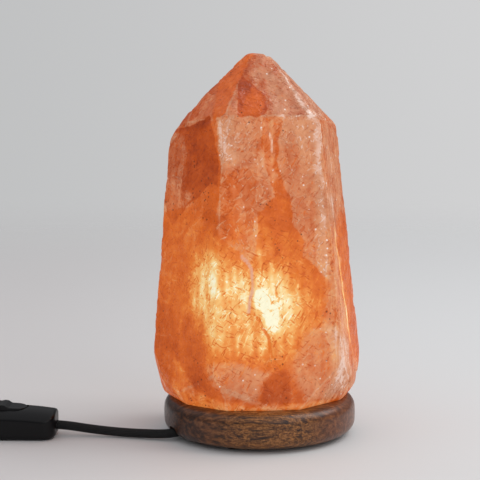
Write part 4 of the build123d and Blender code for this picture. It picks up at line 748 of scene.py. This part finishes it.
# The salt's colours by how much of the bulb's light comes through, clear and cloudy.
ORANGE_SALT = [
    (0.0, (0.26, 0.030, 0.003)), (0.15, (0.42, 0.058, 0.005)), (0.3, (0.57, 0.095, 0.009)),
    (0.45, (0.70, 0.135, 0.015)), (0.6, (0.82, 0.210, 0.030)), (0.72, (0.90, 0.34, 0.075)),
    (0.84, (0.95, 0.54, 0.18)), (0.94, (0.96, 0.74, 0.37)), (1.0, (0.97, 0.92, 0.66)),
]
PINK_SALT = [
    (0.0, (0.40, 0.165, 0.085)), (0.2, (0.55, 0.230, 0.125)), (0.45, (0.74, 0.31, 0.145)),
    (0.7, (0.88, 0.44, 0.18)), (1.0, (0.97, 0.84, 0.52)),
]
FROST = (0.86, 0.62, 0.52)
LILAC_VEIN = (0.76, 0.41, 0.29)
CRACK_RED = (0.80, 0.17, 0.012)
PALE_SLIVER = (0.90, 0.62, 0.46)
DARK_SPECK = (0.10, 0.022, 0.008)
GLINT = (0.95, 0.84, 0.76)
PLATE_SCALE = (0.17, 0.17, 0.034)  # the glow shows tall plates, 6 mm wide and 30 mm high
BLOCK_SCALE = (0.085, 0.085, 0.045)  # and the salt has clear blocks of 12 mm by 22 mm
GROOVE_SCALE = (0.5, 0.5, 0.016)


def salt_patterns(net):
    """The colour, roughness and relief of the salt, and how much of the bulb's light comes through."""
    flat = net.place()
    wide = net.noise(net.place(offset=(11, 3, 40)), 0.03, 3.0, 0.55, 0.6)
    cloud = net.noise(net.place(offset=(5, 50, 9)), 0.08, 3.0, 0.55, 1.2)
    small = net.noise(flat, 0.22, 3.0, 0.55, 1.0)
    fine = net.noise(flat, 1.0, 2.0, 0.6)
    jag = centred(net, net.noise(flat, 0.16, 6.0, 0.75), 12.0)
    big_facets, big_height = facets(net, 0.055, (1.8, 0.5, 2.0), 6.0)
    block = net.cells(net.shifted(net.place(BLOCK_SCALE), 1.6, 0.25, 3.0), 1.0, "Color")
    blocks = centred(net, net.red(block), 1.0)
    tall, aside = [
        net.cells(net.shifted(net.place(PLATE_SCALE, offset), 0.5, 0.5, 1.0), 1.0)
        for offset in ((2, 5, 3), (2.35, 5, 3.05))
    ]
    plates = net.product(net.math("SUBTRACT", aside, tall), 2.6)
    mid_facets, mid_height = facets(net, 0.13, (-1.2, 0.4, 1.3), 3.5)
    small_facets, small_height = facets(net, 0.32, (0.7, 0.3, -0.8), 1.5)

    def mark(name, rag, low, high):
        """A drawn mark, between 0 and 1, with its edge made ragged by noise."""
        return net.step(net.total(net.value_of(name), net.product(jag, rag)), low, high)

    veil = mark("veil", 0.4, -0.8, 1.2)
    cap = mark("cap", 0.35, -0.5, 0.5)
    band = mark("band", 0.45, -0.6, 0.8)
    triangle = mark("triangle", 0.12, -0.4, 0.4)
    vein = mark("vein", 0.12, 2.0, 0.6)
    crack = mark("crack", 0.12, 1.5, 0.5)
    streak = mark("streak", 0.22, 3.0, 0.4)
    sliver = mark("sliver", 0.10, 1.6, 0.3)
    # Painted highlight: a pale line along the facets' edges.
    edge_highlight = net.step(net.total(net.value_of("edge"), net.product(small, 1.0)), 1.3, 0.7)
    side = net.value_of("side")

    def either(first, second):
        return net.math("MAXIMUM", first, second)

    threads_pale = either(threads(net, 3.0, 0.05, 0.012, 0.46), threads(net, 31.0, 0.08, 0.016, 0.42))
    threads_dark = either(threads(net, 71.0, 0.05, 0.012, 0.44), threads(net, 91.0, 0.09, 0.016, 0.41))
    pale_strokes = either(strokes(net, 48.0, 3.0), strokes(net, -20.0, 17.0, depth=25.0))
    bright = either(strokes(net, 28.0, 29.0), strokes(net, -52.0, 41.0, depth=-20.0))
    dark = either(strokes(net, 38.0, 57.0, 8.0), strokes(net, -62.0, 63.0, 8.0))
    grooves = net.product(centred(net, net.noise(net.place(GROOVE_SCALE), 1.0, 4.0, 0.65), 1.0), side)

    heat = net.total(
        net.value_of("warmth"),
        centred(net, wide, 0.16),
        centred(net, cloud, 0.09),
        centred(net, small, 0.04),
        net.product(big_facets, 0.035),
        net.product(mid_facets, 0.035),
        net.product(small_facets, 0.02),
        net.product(blocks, 0.06),
        net.product(streak, 0.30),
        net.product(cap, -0.16),
        net.product(triangle, -0.06),
        net.product(grooves, 0.45),
    )
    lit = net.step(heat, 0.30, 0.75, 0.4, 1.0)
    heat = net.total(
        heat,
        net.product(bright, lit, 0.12),
        net.product(dark, lit, -0.19),
        net.product(threads_dark, lit, -0.17),
        net.product(threads_pale, lit, 0.09),
        net.product(plates, net.step(heat, 0.42, 0.75, 0.25, 1.0), 0.09),
    )
    pale = net.total(
        net.value_of("pale"),
        net.product(veil, 0.70),
        centred(net, cloud, 0.34),
        centred(net, fine, 0.10),
        net.product(big_facets, 0.08),
        net.product(mid_facets, 0.10),
        net.product(small_facets, 0.05),
        net.product(plates, 0.10),
        net.product(blocks, 0.36),
        net.product(pale_strokes, net.total(0.25, net.product(veil, 0.35))),
        net.product(threads_pale, 0.35),
        net.product(bright, -0.35),
        net.product(dark, -0.3),
        net.product(edge_highlight, 0.45),
        net.product(band, -0.35),
        net.product(cap, -0.8),
        net.product(triangle, -0.75),
        net.product(grooves, 2.0),
        -0.10,
    )
    orange = net.ramp(heat, ORANGE_SALT)
    pink = net.ramp(heat, PINK_SALT)
    look = net.mix(net.step(pale, -0.1, 1.15), orange, pink)
    look = net.mix(net.step(pale, 1.05, 1.9, 0.0, 0.85), look, FROST)

    look = net.mix(net.product(vein, 0.75), look, LILAC_VEIN)
    look = net.mix(net.product(crack, 0.9), look, CRACK_RED)
    look = net.mix(net.product(sliver, 0.8), look, PALE_SLIVER)

    # dark specks and white sparkles, only in some places
    pick = net.red(net.cells(flat, 0.42, "Color"))
    spot = net.total(net.cells(flat, 0.42), net.product(fine, 0.12))
    area = net.step(net.noise(net.place(offset=(90, 4, 7)), 0.035, 2.0), 0.50, 0.62)
    gathered = net.product(net.value_of("specked"), net.step(pick, 0.40, 0.44))
    strewn = net.product(net.step(pick, 0.80, 0.82), area)
    specks = net.product(net.step(spot, 0.36, 0.24), either(strewn, gathered), net.step(heat, 0.8, 0.7))
    look = net.mix(net.product(specks, 0.8), look, DARK_SPECK)
    elsewhere = net.place(offset=(3, 9, 1))
    glint = net.product(
        net.step(net.cells(elsewhere, 0.26), 0.22, 0.10),
        net.step(net.red(net.cells(elsewhere, 0.26, "Color")), 0.70, 0.74),
        net.step(pale, 0.3, 0.8),
    )
    look = net.mix(net.product(glint, 0.8), look, GLINT)
    relief = net.total(
        net.product(small, 0.4), net.product(fine, 0.10), net.product(pale_strokes, 0.15),
        net.product(big_height, 0.9), net.product(mid_height, 0.5), net.product(small_height, 0.2),
        net.product(dark, -0.2), net.product(crack, -0.4), net.product(grooves, 1.5),
        net.product(threads_dark, -0.2),
    )
    rough = net.step(cloud, 0.3, 0.7, 0.22, 0.5)
    return {"Look": look, "Relief": relief, "Rough": rough, "Heat": heat}


salt_group = grouped(
    "salt_patterns", salt_patterns,
    [("Look", "NodeSocketColor")] + [(name, "NodeSocketFloat") for name in ("Relief", "Rough", "Heat")],
)
salt_material, salt_net, salt_shader = material("salt", Emission_Strength=1.0, Specular_IOR_Level=0.35)
salt_out = use_group(salt_net, salt_group)
# The look is partly the salt's own colour in the room's light and partly the bulb's light through it.
own = salt_net.mix(1.0, salt_out["Look"], (0.50, 0.50, 0.50), "MULTIPLY")
salt_net.feed(salt_shader.inputs["Base Color"], own)
glow = salt_net.step(salt_out["Heat"], 0.6, 1.0, 0.60, 0.64)
salt_net.feed(salt_shader.inputs["Emission Color"], salt_net.mix(glow, (0.0, 0.0, 0.0), salt_out["Look"]))
salt_net.feed(salt_shader.inputs["Roughness"], salt_out["Rough"])
salt_net.feed(salt_shader.inputs["Normal"], salt_net.bump(salt_out["Relief"], 0.8, 0.0018))

# The bore's wall is no lamp: its emission is a painted glow of the bulb's light on it.
bore_glow_material, _, _ = material(
    "salt_bore_glow", (0.7, 0.32, 0.14), 0.6, Emission_Strength=1.0, Emission_Color=(0.85, 0.36, 0.10, 1.0)
)

crystal.materials.clear()
crystal.materials.append(salt_material)
crystal_piece = new_piece("crystal", crystal, None, "lamp", ["salt_crystal"])

BORE_RADIUS = 23.0
BORE_TOP = 121.0
BORE_CUTTER_LENGTH = 120.0  # it starts below the seat
BORE_SIDES = 64


def bore_crystal(obj):
    """Cuts the room for the bulb out of the crystal, with a material of its own on the wall, which has a
    painted glow of the bulb's light.
    """
    cutter_mesh = bpy.data.meshes.new("bore")
    made = bmesh.new()
    radius, length = BORE_RADIUS * MM, BORE_CUTTER_LENGTH * MM
    bmesh.ops.create_cone(
        made, cap_ends=True, segments=BORE_SIDES, radius1=radius, radius2=radius, depth=length
    )
    bmesh.ops.translate(made, verts=made.verts, vec=(0, 0, BORE_TOP * MM - length / 2))
    made.to_mesh(cutter_mesh)
    made.free()
    cutter_mesh.materials.append(bore_glow_material)
    cutter = bpy.data.objects.new("bore", cutter_mesh)
    scene.collection.objects.link(cutter)
    cut = obj.modifiers.new("bore", "BOOLEAN")
    cut.operation = "DIFFERENCE"
    cut.object = cutter
    cut.solver = "EXACT"
    cut.material_mode = "TRANSFER"
    depsgraph = bpy.context.evaluated_depsgraph_get()
    mesh = bpy.data.meshes.new_from_object(obj.evaluated_get(depsgraph))
    obj.modifiers.clear()
    obj.data = mesh
    bpy.data.objects.remove(cutter)


bore_crystal(crystal_piece)

# ---------------------------------------------------------------- wood
wood_material, wood_net, wood_shader = material(
    "dark_wood", roughness=0.4, Specular_IOR_Level=0.3, Coat_Weight=0.3, Coat_Roughness=0.28
)

# Where the lighter figure in the wood lies, in millimetres, and how far it reaches.
FIGURES = [((8, -66, 9), 50), ((-34, 58, 14), 42), ((60, 26, 8), 34)]
BROWN_WOOD = [
    (0.30, (0.022, 0.008, 0.0035)), (0.48, (0.090, 0.030, 0.011)), (0.60, (0.21, 0.075, 0.026)),
    (0.78, (0.33, 0.13, 0.05)),
]
GOLDEN_WOOD = [(0.38, (0.06, 0.018, 0.004)), (0.5, (0.21, 0.076, 0.017)), (0.60, (0.40, 0.165, 0.045))]


def wood(net):
    """Dark straight grain along X, with lighter wavy figure in places, painted shade on the left and
    painted light on the right.
    """
    flat = net.place()
    bent = net.shifted(flat, 0.03, 5.0)

    def grain(source, long, fine, detail, offset=0.0):
        laid = net.add("ShaderNodeMapping", vector_type="TEXTURE")
        net.feed(laid.inputs["Vector"], source)
        laid.inputs["Location"].default_value = (offset, offset, offset)
        laid.inputs["Scale"].default_value = (long, fine, fine)
        return net.noise(laid.outputs[0], 1.0, detail, 0.6)

    streaks = grain(bent, 26.0, 2.2, 5.0)
    squiggle = net.noise(net.shifted(flat, 0.35, 1.5), 0.85, 2.0, 0.6, 1.2)
    combed = grain(net.shifted(flat, 0.12, 2.0), 6.0, 0.9, 2.0, 7.0)
    light_grain = net.total(net.product(squiggle, 0.5), net.product(combed, 0.5))
    reach = 0.0
    for place, size in FIGURES:
        near = net.add("ShaderNodeVectorMath", operation="DISTANCE")
        net.feed(near.inputs[0], bent)
        near.inputs[1].default_value = place
        reach = net.math("MAXIMUM", reach, net.step(near.outputs["Value"], size, size * 0.35))
    reach = net.product(reach, net.step(streaks, 0.36, 0.50))
    colour = net.ramp(streaks, BROWN_WOOD)
    golden = net.ramp(light_grain, GOLDEN_WOOD)
    colour = net.mix(net.product(reach, 0.9), colour, golden)
    darker = net.step(grain(bent, 34.0, 2.6, 4.0, 31.0), 0.55, 0.64)
    colour = net.mix(net.product(darker, 0.55), colour, (0.010, 0.004, 0.0025))
    pores = net.step(grain(flat, 3.5, 0.45, 1.0, 3.0), 0.62, 0.70)
    colour = net.mix(net.product(pores, 0.6), colour, (0.010, 0.005, 0.003))
    split = net.add("ShaderNodeSeparateXYZ")
    net.feed(split.inputs[0], bent)
    # Painted shade: darker towards the left, away from the window.
    colour = net.mix(net.step(split.outputs[0], -22.0, -62.0, 0.0, 0.66), colour, (0.014, 0.005, 0.004))
    # Painted light: lighter red-brown towards the right, where the window's light falls.
    colour = net.mix(net.step(split.outputs[0], 24.0, 60.0, 0.0, 0.30), colour, (0.22, 0.060, 0.022))
    height = net.total(net.product(streaks, 0.5), net.product(light_grain, 0.4), net.product(pores, -0.7))
    return {"Color": colour, "Relief": height, "Rough": net.step(streaks, 0.2, 0.8, 0.42, 0.28)}


wood_group = grouped(
    "wood", wood,
    [("Color", "NodeSocketColor")] + [(name, "NodeSocketFloat") for name in ("Relief", "Rough")],
)
wood_out = use_group(wood_net, wood_group)
wood_net.feed(wood_shader.inputs["Base Color"], wood_out["Color"])
wood_net.feed(wood_shader.inputs["Roughness"], wood_out["Rough"])
wood_net.feed(wood_shader.inputs["Normal"], wood_net.bump(wood_out["Relief"], 0.35, 0.0006))
dress(["wooden_base"], wood_material)

# ---------------------------------------------------------------- plain materials
black_plastic, plastic_net, plastic_shader = material(
    "black_plastic", (0.004, 0.004, 0.0045), 0.30, Specular_IOR_Level=0.22
)
pebbling = plastic_net.noise(plastic_net.place(), 1.6, 2.0)
plastic_net.feed(plastic_shader.inputs["Normal"], plastic_net.bump(pebbling, 0.08, 0.0002))
rubber, _, _ = material("black_rubber", (0.016, 0.016, 0.017), 0.55)
felt, _, _ = material("felt", (0.02, 0.02, 0.02), 0.95)
steel, _, _ = material("zinc_steel", (0.62, 0.62, 0.60), 0.3, 1.0)
nickel, _, _ = material("nickel", (0.78, 0.76, 0.72), 0.2, 1.0)
brass, _, _ = material("brass", (0.83, 0.61, 0.27), 0.25, 1.0)
ceramic, _, _ = material("white_ceramic", (0.82, 0.81, 0.78), 0.25)
resin, _, _ = material("black_resin", (0.02, 0.02, 0.02), 0.45)
brown_wire, _, _ = material("brown_wire", (0.22, 0.08, 0.03), 0.45)
blue_wire, _, _ = material("blue_wire", (0.03, 0.10, 0.35), 0.45)
filament, _, _ = material(
    "filament", (0.9, 0.6, 0.3), 0.5, Emission_Strength=6.0, Emission_Color=(1.0, 0.62, 0.28, 1.0)
)
glass, _, _ = material("clear_glass", (1.0, 1.0, 1.0), 0.02, Transmission_Weight=1.0, IOR=1.45)

FINISHES = [
    (felt, "base_feet"),
    (steel, "cord_strap cord_strap_screws crystal_screws holder_terminal_screws holder_spring_clip"),
    (steel, "switch_plunger_spring switch_terminal_screws switch_clamp_screws switch_housing_screws"),
    (resin, "holder_cap holder_shell bulb_insulator switch_cord_clamps plug_pin_sleeves"),
    (ceramic, "holder_insert switch_plunger"),
    (brass, "holder_screw_shell holder_centre_contact holder_terminals"),
    (brass, "switch_contact_lever switch_terminals"),
    (brown_wire, "holder_live_wire switch_live_wires"),
    (blue_wire, "holder_neutral_wire switch_neutral_wire"),
    (nickel, "bulb_tip_contact bulb_cap bulb_lead_wires plug_pins"),
    (glass, "bulb_glass bulb_stem"),
    (filament, "bulb_filament"),
    (black_plastic, "switch_lower_housing switch_upper_housing switch_rocker plug_body"),
    (rubber, "coil_tie plug_strain_relief"),
    (cord_material, "cord_in_base"),
]
for finish, dressed in FINISHES:
    dress(dressed.split(), finish)

# ---------------------------------------------------------------- floor, backdrop and light
FLOOR_REACH = 6.0
FLOOR_SIDES = 96
FLOOR_DROP = 0.0002  # keeps the floor clear of the pieces that stand on it
# The floor is painted darker and a little warm towards the left: a painted shadow with a painted glow from
# the lamp.
FLOOR_SHADED_LEFT = (0.66, 0.635, 0.63)
FLOOR_RIGHT = (0.71, 0.71, 0.71)
floor_mesh = bpy.data.meshes.new("floor")
made = bmesh.new()
bmesh.ops.create_circle(made, cap_ends=True, segments=FLOOR_SIDES, radius=FLOOR_REACH)
made.to_mesh(floor_mesh)
made.free()
floor = bpy.data.objects.new("floor", floor_mesh)
floor.location.z = -FLOOR_DROP
scene.collection.objects.link(floor)
floor_material, floor_net, floor_shader = material("floor", roughness=0.55, Specular_IOR_Level=0.3)
floor_x = floor_net.add("ShaderNodeSeparateXYZ")
floor_net.feed(floor_x.inputs[0], floor_net.place())
floor_shade_mix = floor_net.step(floor_x.outputs[0], -260.0, 170.0)
floor_net.feed(floor_shader.inputs["Base Color"], floor_net.mix(floor_shade_mix, FLOOR_SHADED_LEFT, FLOOR_RIGHT))
# further out, the floor fades into the backdrop
out = floor_material.node_tree.nodes["Material Output"]
far = floor_net.add("ShaderNodeVectorMath", operation="LENGTH")
floor_net.feed(far.inputs[0], floor_net.add("ShaderNodeTexCoord").outputs["Object"])
clear = floor_net.add("ShaderNodeBsdfTransparent")
both = floor_net.add("ShaderNodeMixShader")
fade = floor_net.step(far.outputs["Value"], 0.45, 1.7)
for socket, value in zip(both.inputs, (fade, floor_shader.outputs[0], clear.outputs[0])):
    floor_net.feed(socket, value)
floor_net.feed(out.inputs["Surface"], both.outputs[0])
floor.data.materials.append(floor_material)

# The backdrop is painted darker towards the left: painted shade, with the window on the right.
BACKDROP_SHADED_LEFT = (0.52, 0.525, 0.53)
BACKDROP_RIGHT = (0.645, 0.645, 0.65)
ROOM_LIGHT = (0.62, 0.63, 0.65)
DIM_ROOM = [(0.0, (0.10, 0.10, 0.10)), (0.5, (0.22, 0.22, 0.23)), (1.0, (0.7, 0.7, 0.72))]
LIGHT_PANEL_SIDE = 1.2
world = bpy.data.worlds.new("room")
scene.world = world
world.use_nodes = True
room = Net(world.node_tree)
seen = room.add("ShaderNodeLightPath").outputs["Is Camera Ray"]
across = room.add("ShaderNodeSeparateXYZ")
room.feed(across.inputs[0], room.add("ShaderNodeTexCoord").outputs["Generated"])
backdrop = room.mix(room.step(across.outputs[0], -0.26, 0.26), BACKDROP_SHADED_LEFT, BACKDROP_RIGHT)
mirrored = room.add("ShaderNodeLightPath").outputs["Is Glossy Ray"]
dim = room.ramp(room.step(across.outputs[2], -0.2, 1.0), DIM_ROOM)
shade = room.mix(seen, room.mix(mirrored, ROOM_LIGHT, dim), backdrop)
background = world.node_tree.nodes["Background"]
room.feed(background.inputs["Color"], shade)
background.inputs["Strength"].default_value = 1.0


def soft_light(name, place, aim, power, colour):
    """A square light panel."""
    light = bpy.data.lights.new(name, "AREA")
    light.energy = power
    light.color = colour
    light.shape = "RECTANGLE"
    light.size = light.size_y = LIGHT_PANEL_SIDE
    obj = bpy.data.objects.new(name, light)
    obj.location = place
    obj.rotation_euler = (Vector(aim) - Vector(place)).to_track_quat("-Z", "Y").to_euler()
    scene.collection.objects.link(obj)


soft_light("window", (1.1, 0.15, 1.4), (0, 0, 0.1), 14.5, (1.0, 0.99, 0.98))
soft_light("fill", (0.9, -1.3, 0.9), (0, 0, 0.12), 4.0, (0.98, 0.99, 1.0))
